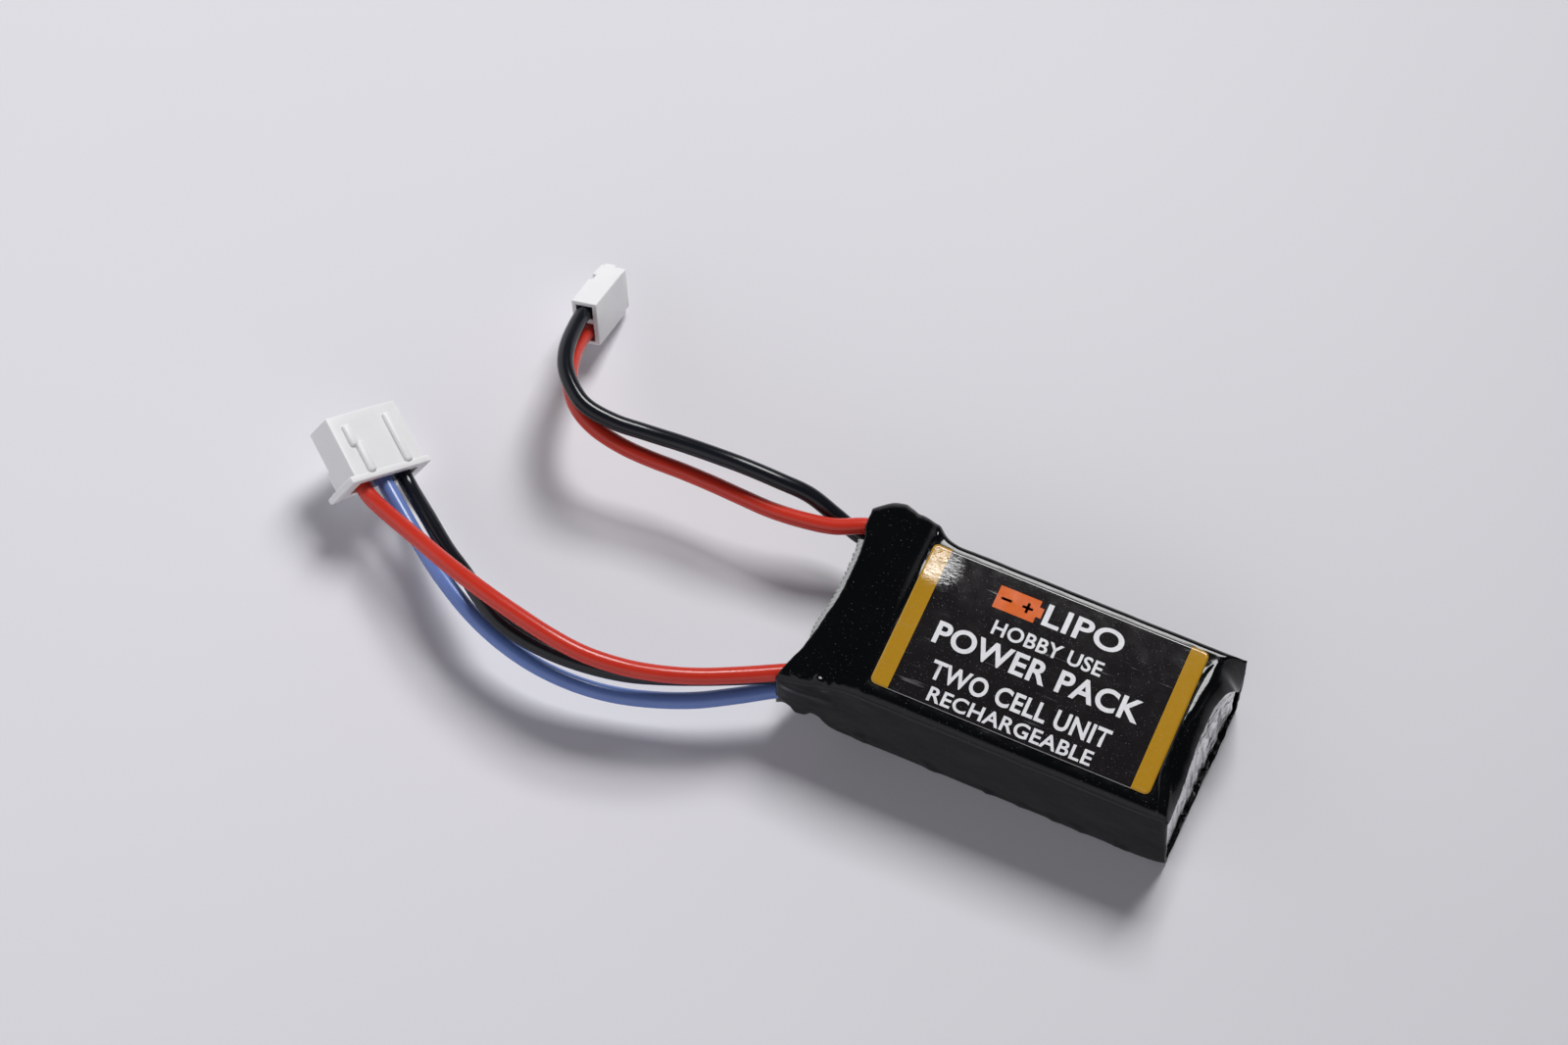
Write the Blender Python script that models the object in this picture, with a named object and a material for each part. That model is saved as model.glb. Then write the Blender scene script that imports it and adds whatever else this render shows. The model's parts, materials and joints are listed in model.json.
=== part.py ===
"""Two-cell lithium-polymer battery pack for a radio-control model.

Frame: metres, +Z up. The pack lies flat on z = 0 with its length along X.
The leads leave the -X end (the lead end), and the sleeve is open at the +X end.
Local sizes below are in millimetres and are scaled by MM when a mesh is made.
"""
import math

import bpy
from mathutils import Matrix, Vector

MM = 0.001

# Driving dimensions, millimetres
BODY_NEAR, BODY_FAR = -9.8, 9.1      # long sides of the sleeve
BODY_TOP = 11.6                      # sleeve height
BODY_START = -11.7                   # where the cells end and the neck begins
OPEN_END = 20.8                      # furthest point of the open end
TIP = -20.8                          # furthest point of the lead end
FILM = 0.25                          # sleeve wall
GAP = 0.2                            # clearance between touching pieces

LABEL_SIZE = (28.9, 16.15, 0.15)
LABEL_CENTRE = (2.95, -0.05)
LABEL_CORNER = 0.6

CELL_THICKNESS = 5.1
CELL_SIDE_GAP = 0.35
CELL_TERRACE = 2.4                   # length of the sealed ledge at the lead end
FOIL_LEDGE = 0.3                     # thickness of that ledge
TAPE_THICKNESS = 0.2

TAB_SIZE = (1.0, 3.0, 0.2)
TAB_SPREAD = 4.6                     # tab centre to pack centre line
SEAL_SIZE = (0.6, 4.2, 0.5)

BOARD_X = -16.0
SOLDER_CLEARANCE = 0.6               # wire end to solder, so that the tilted end is free
BOARD_SIZE = (0.8, 18.4, 5.8)
BOARD_CENTRE = (0.75, 6.1)

WIRE_DIAMETER = 1.7
WIRE_POINT_SPACING = 3.4             # two diameters

# Plug frames: entry = centre of the wire-entry face, angles in degrees.
# Local +X points to the nose, +Z to the ribbed or upper side.
BALANCE_ENTRY = (-65.85, -5.26, 5.2)
BALANCE_TURN = dict(yaw=142.8, pitch=12.3, roll=30.9)
DISCHARGE_ENTRY = (-55.05, 19.15, 5.6)
DISCHARGE_TURN = dict(yaw=89.1, pitch=-23.8, roll=-13.9)

BALANCE_BODY = (7.4, 8.9, 3.6)       # length, width across the row, thickness
BALANCE_FLANGE = (0.9, 10.2, 5.0)
BALANCE_POCKET = (7.5, 2.4)          # recess that the wires enter: width, height
BALANCE_PITCH = 2.5
BALANCE_RIBS = [(2.8, 1.8), (-2.0, -2.9)]
RIB_HEIGHT = 0.55
RIB_SETBACK = 1.4                    # nose to the start of a rib
DISCHARGE_BODY = (7.3, 2.85, 5.1)    # length, thickness, height along the row
DISCHARGE_POCKET = (2.1, 4.4)
DISCHARGE_PITCH = 2.4
POCKET_DEPTH = 1.6
WIRE_SEAT = 1.3                      # how far a wire reaches into its plug
WIRE_LEAD_OUT = 1.4                  # straight stretch behind the plug
TERMINAL_START = 1.7
TERMINAL_SETBACK = 0.6               # nose to the front of a terminal
CAVITY = 1.5
TERMINAL = 1.2

# Sleeve sections from the lead end to the open end: x, near, far, bottom, top, corner radius
SLEEVE_SECTIONS = [
    (-20.8, -11.4, 10.4, 3.4, 9.7, 1.1),
    (-20.0, -11.2, 10.7, 3.0, 9.8, 1.2),
    (-18.8, -10.7, 11.2, 2.3, 10.0, 1.5),
    (-17.4, -10.2, 11.4, 1.7, 10.2, 1.6),
    (-16.2, -9.9, 11.4, 1.2, 10.5, 1.5),
    (-15.0, -9.8, 11.3, 0.3, 10.8, 1.4),
    (-13.8, -9.8, 11.1, 0.0, 11.1, 1.3),
    (-12.6, -9.8, 10.6, 0.0, 11.45, 1.2),
    (-11.7, -9.8, 9.9, 0.0, 11.6, 1.1),
    (-10.4, -9.8, 9.3, 0.0, 11.6, 1.1),
    (-9.0, -9.8, 9.1, 0.0, 11.6, 1.1),
    (0.0, -9.8, 9.1, 0.0, 11.6, 1.1),
    (9.0, -9.8, 9.1, 0.0, 11.6, 1.1),
    (17.6, -9.8, 9.1, 0.0, 11.6, 1.1),
    (18.6, -9.8, 9.1, 0.0, 11.3, 1.2),
    (19.4, -9.75, 9.05, 0.0, 10.4, 1.4),
    (20.0, -9.7, 9.0, 0.1, 9.1, 1.6),
    (20.5, -9.6, 8.9, 0.2, 8.0, 1.7),
    (20.8, -9.5, 8.8, 0.35, 7.2, 1.7),
]
# The mouth of the lead end is cut concave: how far each y sits behind the tip
MOUTH_CURVE = [(-11.4, 0.0), (-9.3, 0.6), (-7.0, 2.0), (-3.3, 2.9), (1.3, 2.7), (6.0, 2.4), (9.5, 1.8), (11.4, 1.7)]
# The top film reaches less far than the bottom film at the open end
TOP_LIP_SETBACK = 0.9

# Wire routes, from the solder joint to the plug
ROUTES = {
    "discharge_wire_red": [
        (-17.5, 9.2, 7.6), (-19.2, 8.8, 7.6), (-22.1, 7.6, 7.35), (-25.2, 7.1, 7.1), (-28.6, 6.9, 6.9),
        (-32.0, 7.05, 6.8), (-35.3, 7.2, 6.8), (-38.7, 7.2, 6.9), (-42.0, 7.0, 7.2), (-45.2, 6.95, 7.7),
        (-48.4, 7.5, 8.1), (-51.0, 8.9, 8.2), (-53.0, 11.4, 7.8), (-54.2, 14.4, 6.6)],
    "discharge_wire_black": [
        (-17.5, 8.5, 5.4), (-19.8, 8.6, 5.5), (-22.6, 9.2, 6.4), (-25.6, 9.5, 8.0), (-28.8, 9.2, 9.1),
        (-32.3, 9.0, 9.7), (-35.8, 8.9, 9.7), (-39.4, 8.8, 9.5), (-43.0, 8.5, 9.5), (-46.6, 8.1, 9.9),
        (-50.0, 8.5, 10.4), (-52.9, 10.9, 10.2), (-54.5, 14.0, 9.2)],
    "balance_wire_red": [
        (-17.5, -7.8, 8.2), (-20.6, -9.6, 8.35), (-23.9, -11.5, 8.6), (-27.3, -13.3, 8.9), (-30.8, -14.7, 9.2),
        (-34.4, -15.6, 9.4), (-38.3, -16.0, 9.7), (-42.1, -15.7, 9.9), (-46.1, -14.9, 9.8), (-50.1, -13.9, 9.5),
        (-54.3, -12.6, 8.9), (-58.4, -11.0, 7.9)],
    "balance_wire_blue": [
        (-17.5, -8.0, 4.5), (-20.4, -9.8, 4.8), (-23.9, -12.0, 4.6), (-27.4, -13.9, 4.2), (-31.2, -15.4, 3.9),
        (-35.1, -16.5, 3.8), (-39.0, -17.1, 4.1), (-43.0, -17.1, 4.5), (-47.0, -16.4, 4.8), (-51.0, -15.0, 4.9),
        (-55.0, -12.9, 4.8), (-58.8, -10.4, 4.6)],
    "balance_wire_black": [
        (-17.5, -7.9, 6.35), (-21.0, -9.3, 6.6), (-24.2, -10.9, 6.7), (-27.3, -12.4, 6.75), (-30.6, -13.85, 6.8),
        (-34.0, -15.1, 6.9), (-37.6, -15.85, 7.0), (-41.2, -16.15, 7.1), (-44.7, -15.95, 7.1),
        (-47.9, -15.2, 7.0), (-50.8, -13.6, 6.6), (-53.6, -11.6, 6.1), (-56.7, -9.6, 5.4), (-60.2, -6.9, 4.6)],
}


def clear_scene():
    for old in list(bpy.data.objects):
        bpy.data.objects.remove(old, do_unlink=True)


def make_material(name, colour, roughness, metallic=0.0):
    material = bpy.data.materials.new(name)
    material.use_nodes = True
    shader = material.node_tree.nodes["Principled BSDF"]
    shader.inputs["Base Color"].default_value = (*colour, 1.0)
    shader.inputs["Roughness"].default_value = roughness
    shader.inputs["Metallic"].default_value = metallic
    return material


def turn_matrix(yaw, pitch, roll):
    """Rotation whose +X axis points along yaw and pitch, rolled about that axis."""
    turn = Matrix.Rotation(math.radians(yaw), 4, "Z")
    turn = turn @ Matrix.Rotation(math.radians(-pitch), 4, "Y")
    return turn @ Matrix.Rotation(math.radians(roll), 4, "X")


def add_frame(name, entry, turn):
    frame = bpy.data.objects.new(name, None)
    frame.matrix_world = Matrix.Translation(Vector(entry) * MM) @ turn_matrix(**turn)
    bpy.context.scene.collection.objects.link(frame)
    return frame


def add_mesh(name, points, faces, material, parent=None, sharp=35.0):
    """Mesh object from points in millimetres."""
    mesh = bpy.data.meshes.new(name)
    mesh.from_pydata([tuple(c * MM for c in p) for p in points], [], faces)
    mesh.validate()
    mesh.shade_smooth()
    mesh.set_sharp_from_angle(angle=math.radians(sharp))
    mesh.materials.append(material)
    thing = bpy.data.objects.new(name, mesh)
    bpy.context.scene.collection.objects.link(thing)
    if parent is not None:
        thing.parent = parent
    return thing


def spread(start, end, steps):
    """Values from start up to, but not including, end."""
    return [start + (end - start) * i / steps for i in range(steps)]


def rounded_section(near, far, bottom, top, radius, long_steps=8, side_steps=4, arc_steps=4):
    """Rounded rectangle in the YZ plane as (y, z) points, anticlockwise seen from +X."""
    radius = min(radius, (far - near) / 2 - 0.01, (top - bottom) / 2 - 0.01)
    corners = [
        (far - radius, bottom + radius, -90.0),
        (far - radius, top - radius, 0.0),
        (near + radius, top - radius, 90.0),
        (near + radius, bottom + radius, 180.0),
    ]
    steps = [side_steps, long_steps, side_steps, long_steps]
    points = []
    for index, (cy, cz, angle) in enumerate(corners):
        for turn in range(arc_steps + 1):
            a = math.radians(angle + 90.0 * turn / arc_steps)
            points.append((cy + radius * math.cos(a), cz + radius * math.sin(a)))
        ny, nz, next_angle = corners[(index + 1) % 4]
        a = math.radians(next_angle)
        start = points[-1]
        end = (ny + radius * math.cos(a), nz + radius * math.sin(a))
        ys = spread(start[0], end[0], steps[index])
        zs = spread(start[1], end[1], steps[index])
        points.extend(list(zip(ys, zs))[1:])
    return points


def bridge(first, second, count, flip=False):
    """Quads between two rings of count points that start at the given indices."""
    faces = []
    for i in range(count):
        j = (i + 1) % count
        quad = (first + i, second + i, second + j, first + j)
        faces.append(quad[::-1] if flip else quad)
    return faces


def loft(name, rings, material, parent=None, sharp=35.0):
    """Closed solid through rings of equal point counts. Each ring runs anticlockwise
    seen from the side that the list of rings moves towards."""
    count = len(rings[0])
    points = [p for ring in rings for p in ring]
    faces = []
    for k in range(len(rings) - 1):
        faces += bridge(k * count, (k + 1) * count, count, flip=True)
    last = (len(rings) - 1) * count
    faces.append(tuple(reversed(range(count))))
    faces.append(tuple(range(last, last + count)))
    return add_mesh(name, points, faces, material, parent, sharp)


def interpolate(table, value):
    """Value at a place, on straight lines between a table's (place, height) pairs."""
    if value <= table[0][0]:
        return table[0][1]
    for (a, ha), (b, hb) in zip(table, table[1:]):
        if value <= b:
            t = (value - a) / (b - a)
            return ha + (hb - ha) * t
    return table[-1][1]


def sleeve_ring(section, inset):
    """One ring of the sleeve, moved in by inset, with its ends cut to their real outline."""
    x, near, far, bottom, top, radius = section
    neck = max(0.0, min(1.0, (-13.5 - x) / (-13.5 - TIP)))
    lip = max(0.0, min(1.0, (x - 18.0) / (OPEN_END - 18.0)))
    ring = []
    shape = rounded_section(near + inset, far - inset, bottom + inset, top - inset, max(radius - inset, 0.4))
    for y, z in shape:
        shift = neck * interpolate(MOUTH_CURVE, y)
        height = (z - bottom) / (top - bottom)
        shift -= lip * TOP_LIP_SETBACK * height
        ring.append((x + shift, y, z))
    return ring


def add_sleeve(material):
    outer = [sleeve_ring(s, 0.0) for s in SLEEVE_SECTIONS]
    inner = [sleeve_ring(s, FILM) for s in SLEEVE_SECTIONS]
    count = len(outer[0])
    rows = len(outer)
    points = [p for ring in outer + inner for p in ring]
    faces = []
    for k in range(rows - 1):
        faces += bridge(k * count, (k + 1) * count, count, flip=True)
        faces += bridge((rows + k) * count, (rows + k + 1) * count, count)
    faces += bridge(0, rows * count, count)
    faces += bridge((rows - 1) * count, (2 * rows - 1) * count, count, flip=True)
    return add_mesh("heat_shrink_sleeve", points, faces, material)


def plate_outline(length, width, corner, arc_steps=5):
    """Rounded rectangle in the XY plane about the origin, anticlockwise from above."""
    points = []
    for sx, sy, angle in ((1, -1, -90.0), (1, 1, 0.0), (-1, 1, 90.0), (-1, -1, 180.0)):
        cx = sx * (length / 2 - corner)
        cy = sy * (width / 2 - corner)
        for turn in range(arc_steps + 1):
            a = math.radians(angle + 90.0 * turn / arc_steps)
            points.append((cx + corner * math.cos(a), cy + corner * math.sin(a)))
    return points


def add_label(material):
    length, width, thickness = LABEL_SIZE
    base = BODY_TOP + GAP / 2
    outline = plate_outline(length, width, LABEL_CORNER)
    rings = []
    for z in (base + thickness, base):
        rings.append([(x + LABEL_CENTRE[0], y + LABEL_CENTRE[1], z) for x, y in outline])
    count = len(outline)
    points = rings[0] + rings[1]
    faces = [tuple(range(count)), tuple(reversed(range(count, 2 * count)))]
    faces += bridge(0, count, count)
    return add_mesh("label", points, faces, material)


def add_cell(name, bottom, end_profile, material):
    """Pouch cell: a pillow with a thin sealed ledge at the lead end."""
    near = BODY_NEAR + FILM + CELL_SIDE_GAP
    far = BODY_FAR - FILM - CELL_SIDE_GAP
    top = bottom + CELL_THICKNESS
    middle = (bottom + top) / 2
    ledge = (middle - FOIL_LEDGE / 2, middle + FOIL_LEDGE / 2)
    start = BODY_START + 0.4
    sections = [
        (start - CELL_TERRACE, near + 0.8, far - 0.8, *ledge, 0.1),
        (start - 0.9, near + 0.8, far - 0.8, *ledge, 0.1),
        (start, near + 0.3, far - 0.3, bottom + 0.5, top - 0.5, 0.8),
        (start + 0.8, near, far, bottom, top, 0.9),
        *end_profile(near, far, bottom, top),
    ]
    rings = []
    for x, y0, y1, z0, z1, radius in sections:
        shape = rounded_section(y0, y1, z0, z1, radius, long_steps=4, side_steps=2, arc_steps=3)
        rings.append([(x, y, z) for y, z in shape])
    return loft(name, rings, material)


def upper_cell_end(near, far, bottom, top):
    return [
        (17.2, near, far, bottom, top, 0.9),
        (18.2, near + 0.1, far - 0.1, bottom, top - 0.9, 1.0),
        (18.9, near + 0.4, far - 0.4, bottom + 0.4, top - 2.3, 1.0),
    ]


def lower_cell_end(near, far, bottom, top):
    return [
        (18.2, near, far, bottom, top, 0.9),
        (19.2, near + 0.15, far - 0.15, bottom + 0.2, top - 0.2, 1.0),
        (19.7, near + 0.6, far - 0.6, bottom + 0.9, top - 0.9, 1.0),
    ]


def add_box(name, centre, size, material, parent=None, edge=0.0):
    """Box with optional rounded long edges, its length along X."""
    (cx, cy, cz), (lx, ly, lz) = centre, size
    near, far = cy - ly / 2, cy + ly / 2
    bottom, top = cz - lz / 2, cz + lz / 2
    if edge > 0:
        shape = rounded_section(near, far, bottom, top, edge, long_steps=1, side_steps=1, arc_steps=3)
    else:
        shape = [(far, bottom), (far, top), (near, top), (near, bottom)]
    rings = [[(x, y, z) for y, z in shape] for x in (cx - lx / 2, cx + lx / 2)]
    return loft(name, rings, material, parent)


def add_cells(foil, tape):
    lower_bottom = FILM + GAP
    upper_bottom = lower_bottom + CELL_THICKNESS + TAPE_THICKNESS + GAP
    add_cell("lower_cell", lower_bottom, lower_cell_end, foil)
    add_cell("upper_cell", upper_bottom, upper_cell_end, foil)
    tape_z = (lower_bottom + CELL_THICKNESS + upper_bottom) / 2
    centre = (3.4, (BODY_NEAR + BODY_FAR) / 2, tape_z)
    add_box("cell_bonding_tape", centre, (26.0, 14.0, TAPE_THICKNESS), tape)
    return {"lower": lower_bottom + CELL_THICKNESS / 2, "upper": upper_bottom + CELL_THICKNESS / 2}


def add_tabs(heights, aluminium, nickel, sealant):
    """Two tabs on each cell, with the sealing strip that each one passes through."""
    ledge_end = BODY_START + 0.4 - CELL_TERRACE
    seal_x = ledge_end - 0.1 - SEAL_SIZE[0] / 2
    tab_x = seal_x - SEAL_SIZE[0] / 2 - 0.1 - TAB_SIZE[0] / 2
    middle = (BODY_NEAR + BODY_FAR) / 2
    for cell, height in heights.items():
        for pole, side in (("positive", 1), ("negative", -1)):
            flip = side if cell == "upper" else -side
            y = middle + flip * TAB_SPREAD
            metal = aluminium if pole == "positive" else nickel
            add_box(f"{cell}_cell_tab_{pole}", (tab_x, y, height), TAB_SIZE, metal)
            add_box(f"{cell}_cell_seal_{pole}", (seal_x, y, height), SEAL_SIZE, sealant, edge=0.15)


def add_end_strip(material):
    """Pale insulating strip across the mouth, bent to the same concave line as the film."""
    rings = []
    for step in range(13):
        y = -5.6 + 12.0 * step / 12
        x = TIP + interpolate(MOUTH_CURVE, y) - 0.5
        ring = [(x, 4.4), (x, 7.9), (x + 0.4, 7.9), (x + 0.4, 4.4)]
        rings.append([(px, y, pz) for px, pz in ring])
    return loft("end_insulation_strip", rings, material)


def add_solder(name, start, material):
    """Solder joint between the board and a wire: a cone frustum along X."""
    x, y, z = start
    face = BOARD_X - BOARD_SIZE[0] / 2 - 0.05
    rings = []
    tip = x + SOLDER_CLEARANCE
    for place, radius in ((tip, 0.5), ((tip + face) / 2, 0.75), (face, 0.95)):
        ring = []
        for i in range(12):
            a = math.tau * i / 12
            ring.append((place, y + radius * math.cos(a), z + radius * math.sin(a)))
        rings.append(ring)
    return loft(name, rings, material)


def smooth_route(points, spacing):
    """Points at even spacing on a Catmull-Rom curve through the route's own points."""
    path = [Vector(p) for p in points]
    path = [path[0] * 2 - path[1]] + path + [path[-1] * 2 - path[-2]]
    dense = []
    for p0, p1, p2, p3 in zip(path, path[1:], path[2:], path[3:]):
        for step in range(40):
            t = step / 40
            a = p1 * 2 + (p2 - p0) * t
            b = (p0 * 2 - p1 * 5 + p2 * 4 - p3) * t * t
            c = (p1 * 3 - p0 - p2 * 3 + p3) * t * t * t
            dense.append((a + b + c) / 2)
    dense.append(path[-2])
    travelled = [0.0]
    for a, b in zip(dense, dense[1:]):
        travelled.append(travelled[-1] + (b - a).length)
    count = round(travelled[-1] / spacing)
    places = []
    index = 0
    for k in range(count + 1):
        target = travelled[-1] * k / count
        while index < len(dense) - 2 and travelled[index + 1] < target:
            index += 1
        share = (target - travelled[index]) / (travelled[index + 1] - travelled[index])
        places.append(dense[index].lerp(dense[index + 1], share))
    return places


def add_wire(name, route, material):
    curve = bpy.data.curves.new(name, "CURVE")
    curve.dimensions = "3D"
    curve.bevel_depth = WIRE_DIAMETER / 2 * MM
    curve.bevel_resolution = 2
    curve.use_fill_caps = True
    places = smooth_route(route, WIRE_POINT_SPACING)
    spline = curve.splines.new("POLY")
    spline.points.add(len(places) - 1)
    for point, place in zip(spline.points, places):
        point.co = (*(place * MM), 1.0)
    curve.materials.append(material)
    wire = bpy.data.objects.new(name, curve)
    bpy.context.scene.collection.objects.link(wire)
    return wire


def seat_points(entry, turn, row):
    """Last points of a wire, along the plug's axis and into it. row = (y, z) in the plug."""
    frame = Matrix.Translation(Vector(entry)) @ turn_matrix(**turn)
    return [tuple(frame @ Vector((x, row[0], row[1]))) for x in (-WIRE_LEAD_OUT, WIRE_SEAT)]


def combine(target, name, low, high, operation, edge=0.0):
    """Joins a box to a plug housing, or cuts a box out of it."""
    centre = tuple((a + b) / 2 for a, b in zip(low, high))
    size = tuple(b - a for a, b in zip(low, high))
    tool = add_box(name, centre, size, target.data.materials[0], target.parent, edge)
    tool.hide_render = True
    tool.display_type = "WIRE"
    boolean = target.modifiers.new(name, "BOOLEAN")
    boolean.operation = operation
    boolean.object = tool


def add_balance_plug(frame, plastic):
    length, width, thickness = BALANCE_BODY
    flange_length, flange_width, flange_height = BALANCE_FLANGE
    body = add_box("balance_plug_housing", (length / 2, 0, 0), (length, width, thickness), plastic, frame, edge=0.25)
    low = (0, -flange_width / 2, thickness / 2 - flange_height)
    high = (flange_length, flange_width / 2, thickness / 2 + 0.1)
    combine(body, "flange_tool", low, high, "UNION", edge=0.3)
    for index, (left, right) in enumerate(BALANCE_RIBS):
        low = (flange_length / 2, right, 0)
        high = (length - RIB_SETBACK, left, thickness / 2 + RIB_HEIGHT)
        combine(body, f"rib_tool_{index}", low, high, "UNION")
    pocket_y, pocket_z = (v / 2 for v in BALANCE_POCKET)
    combine(body, "balance_pocket_tool", (-1, -pocket_y, -pocket_z), (POCKET_DEPTH, pocket_y, pocket_z), "DIFFERENCE")
    for index in (-1, 0, 1):
        y = index * BALANCE_PITCH
        low = (POCKET_DEPTH - 0.5, y - CAVITY / 2, -CAVITY / 2)
        high = (length + 1, y + CAVITY / 2, CAVITY / 2)
        combine(body, f"balance_cavity_tool_{index + 1}", low, high, "DIFFERENCE")


def add_discharge_plug(frame, plastic):
    length, thickness, height = DISCHARGE_BODY
    body = add_box("discharge_plug_housing", (length / 2, 0, 0), (length, thickness, height), plastic, frame, edge=0.25)
    pocket_y, pocket_z = (v / 2 for v in DISCHARGE_POCKET)
    combine(body, "discharge_pocket_tool", (-1, -pocket_y, -pocket_z), (POCKET_DEPTH, pocket_y, pocket_z), "DIFFERENCE")
    for index, side in enumerate((-1, 1)):
        z = side * DISCHARGE_PITCH / 2
        low = (POCKET_DEPTH - 0.5, -CAVITY / 2, z - CAVITY / 2)
        high = (length + 1, CAVITY / 2, z + CAVITY / 2)
        combine(body, f"discharge_cavity_tool_{index}", low, high, "DIFFERENCE")


def add_terminal(name, row, housing_length, metal, frame):
    """Crimped socket: an open-ended box ahead, a round crimp behind, in one solid."""
    front = housing_length - TERMINAL_SETBACK
    half = TERMINAL / 2
    rings = []
    for x, size, round_off in (
        (TERMINAL_START, half * 0.95, 0.5),
        (TERMINAL_START + 1.2, half * 0.95, 0.5),
        (TERMINAL_START + 1.6, half * 0.6, 0.2),
        (TERMINAL_START + 2.0, half, 0.1),
        (front, half, 0.1),
    ):
        y, z = row
        shape = rounded_section(y - size, y + size, z - size, z + size, round_off, 1, 1, 3)
        rings.append([(x, py, pz) for py, pz in shape])
    return loft(name, rings, metal, frame)


def main():
    clear_scene()
    film = make_material("black_heat_shrink", (0.008, 0.009, 0.011), 0.18)
    print_film = make_material("label_print", (0.02, 0.018, 0.02), 0.3)
    foil = make_material("pouch_foil", (0.72, 0.73, 0.74), 0.28, 0.9)
    tape = make_material("bonding_tape", (0.85, 0.84, 0.8), 0.7)
    sealant = make_material("tab_sealant", (0.75, 0.72, 0.6), 0.5)
    aluminium = make_material("aluminium_tab", (0.8, 0.8, 0.82), 0.35, 1.0)
    nickel = make_material("nickel_tab", (0.66, 0.63, 0.58), 0.3, 1.0)
    laminate = make_material("board_laminate", (0.03, 0.16, 0.07), 0.4)
    solder = make_material("solder", (0.7, 0.7, 0.72), 0.25, 1.0)
    paper = make_material("insulating_paper", (0.78, 0.78, 0.74), 0.6)
    plastic = make_material("white_nylon", (0.83, 0.83, 0.82), 0.4)
    brass = make_material("tinned_brass", (0.72, 0.68, 0.6), 0.3, 1.0)
    red = make_material("red_insulation", (0.5, 0.03, 0.02), 0.35)
    blue = make_material("blue_insulation", (0.1, 0.17, 0.5), 0.35)
    black = make_material("black_insulation", (0.012, 0.014, 0.018), 0.3)
    wire_material = {"red": red, "blue": blue, "black": black}

    add_sleeve(film)
    add_label(print_film)
    heights = add_cells(foil, tape)
    add_tabs(heights, aluminium, nickel, sealant)
    add_box("junction_board", (BOARD_X, *BOARD_CENTRE), BOARD_SIZE, laminate)
    add_end_strip(paper)

    balance_frame = add_frame("balance_plug_frame", BALANCE_ENTRY, BALANCE_TURN)
    discharge_frame = add_frame("discharge_plug_frame", DISCHARGE_ENTRY, DISCHARGE_TURN)
    add_balance_plug(balance_frame, plastic)
    add_discharge_plug(discharge_frame, plastic)
    leads = {
        "balance": (BALANCE_ENTRY, BALANCE_TURN, balance_frame, BALANCE_BODY[0],
                    {"red": (BALANCE_PITCH, 0), "blue": (0, 0), "black": (-BALANCE_PITCH, 0)}),
        "discharge": (DISCHARGE_ENTRY, DISCHARGE_TURN, discharge_frame, DISCHARGE_BODY[0],
                      {"red": (0, -DISCHARGE_PITCH / 2), "black": (0, DISCHARGE_PITCH / 2)}),
    }
    for lead, (entry, turn, frame, housing_length, rows) in leads.items():
        for colour, row in rows.items():
            name = f"{lead}_wire_{colour}"
            route = ROUTES[name] + seat_points(entry, turn, row)
            add_wire(name, route, wire_material[colour])
            add_solder(f"{lead}_solder_{colour}", ROUTES[name][0], solder)
            add_terminal(f"{lead}_terminal_{colour}", row, housing_length, brass, frame)


main()
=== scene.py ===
"""Looks of the two-cell lithium-polymer pack: film, label, foil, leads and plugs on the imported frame.

Sizes are in millimetres and are scaled by MM when a mesh is made. The frame's X runs along the
pack from the lead end to the open end, Y across it, and Z up from the table.
"""
import json
import math

import bmesh
import bpy
import numpy as np
from mathutils import Matrix, Vector, noise


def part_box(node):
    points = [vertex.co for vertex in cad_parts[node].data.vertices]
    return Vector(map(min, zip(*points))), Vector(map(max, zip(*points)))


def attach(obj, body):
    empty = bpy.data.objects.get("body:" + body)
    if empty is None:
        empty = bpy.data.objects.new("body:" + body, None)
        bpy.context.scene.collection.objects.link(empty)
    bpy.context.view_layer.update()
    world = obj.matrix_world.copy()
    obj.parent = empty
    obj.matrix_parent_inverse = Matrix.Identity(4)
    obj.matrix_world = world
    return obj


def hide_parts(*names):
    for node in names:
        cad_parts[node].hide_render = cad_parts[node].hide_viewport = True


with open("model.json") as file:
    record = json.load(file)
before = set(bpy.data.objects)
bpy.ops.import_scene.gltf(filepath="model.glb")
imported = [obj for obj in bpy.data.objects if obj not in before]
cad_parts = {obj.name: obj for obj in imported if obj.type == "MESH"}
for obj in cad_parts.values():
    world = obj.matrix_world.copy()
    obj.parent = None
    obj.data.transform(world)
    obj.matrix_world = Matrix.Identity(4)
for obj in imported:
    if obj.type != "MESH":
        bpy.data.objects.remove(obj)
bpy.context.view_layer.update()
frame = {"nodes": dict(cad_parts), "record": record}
NODES = frame["nodes"]
MM = 0.001

# Camera, in millimetres and degrees
CAMERA_PLACE = (39.7, -142.2, 340.3)
CAMERA_TILT, CAMERA_TURN = 26.0, 24.17
CAMERA_LENS = 85.5

# Soft key light: direction from the pack, distance, and size as an angle
KEY_FROM = (-0.03, 0.60, 0.80)
KEY_DISTANCE = 600.0
KEY_ANGLE = 21.0
KEY_POWER = 3.32

# The leads: outer diameter, and the spacing of the points that their curves are read at
LEAD_DIAMETER = 1.7
LEAD_STEP = 0.45

# Room: how its fade leans to X and Y, where it starts and ends, and its tones low down and overhead
ROOM_LEAN = (0.30, 0.45)
ROOM_FADE = (0.18, 0.62)
ROOM_PALE, ROOM_DARK = (0.94, 0.94, 0.98), (0.024, 0.025, 0.028)

# Table: half its width in metres, and its tones at the near left and the far right, between which painted
# light falloff runs
TABLE_HALF = 1.5
TABLE_PAINTED_LIT, TABLE_PAINTED_DIM = (0.850, 0.840, 0.880), (0.505, 0.499, 0.527)

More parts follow.
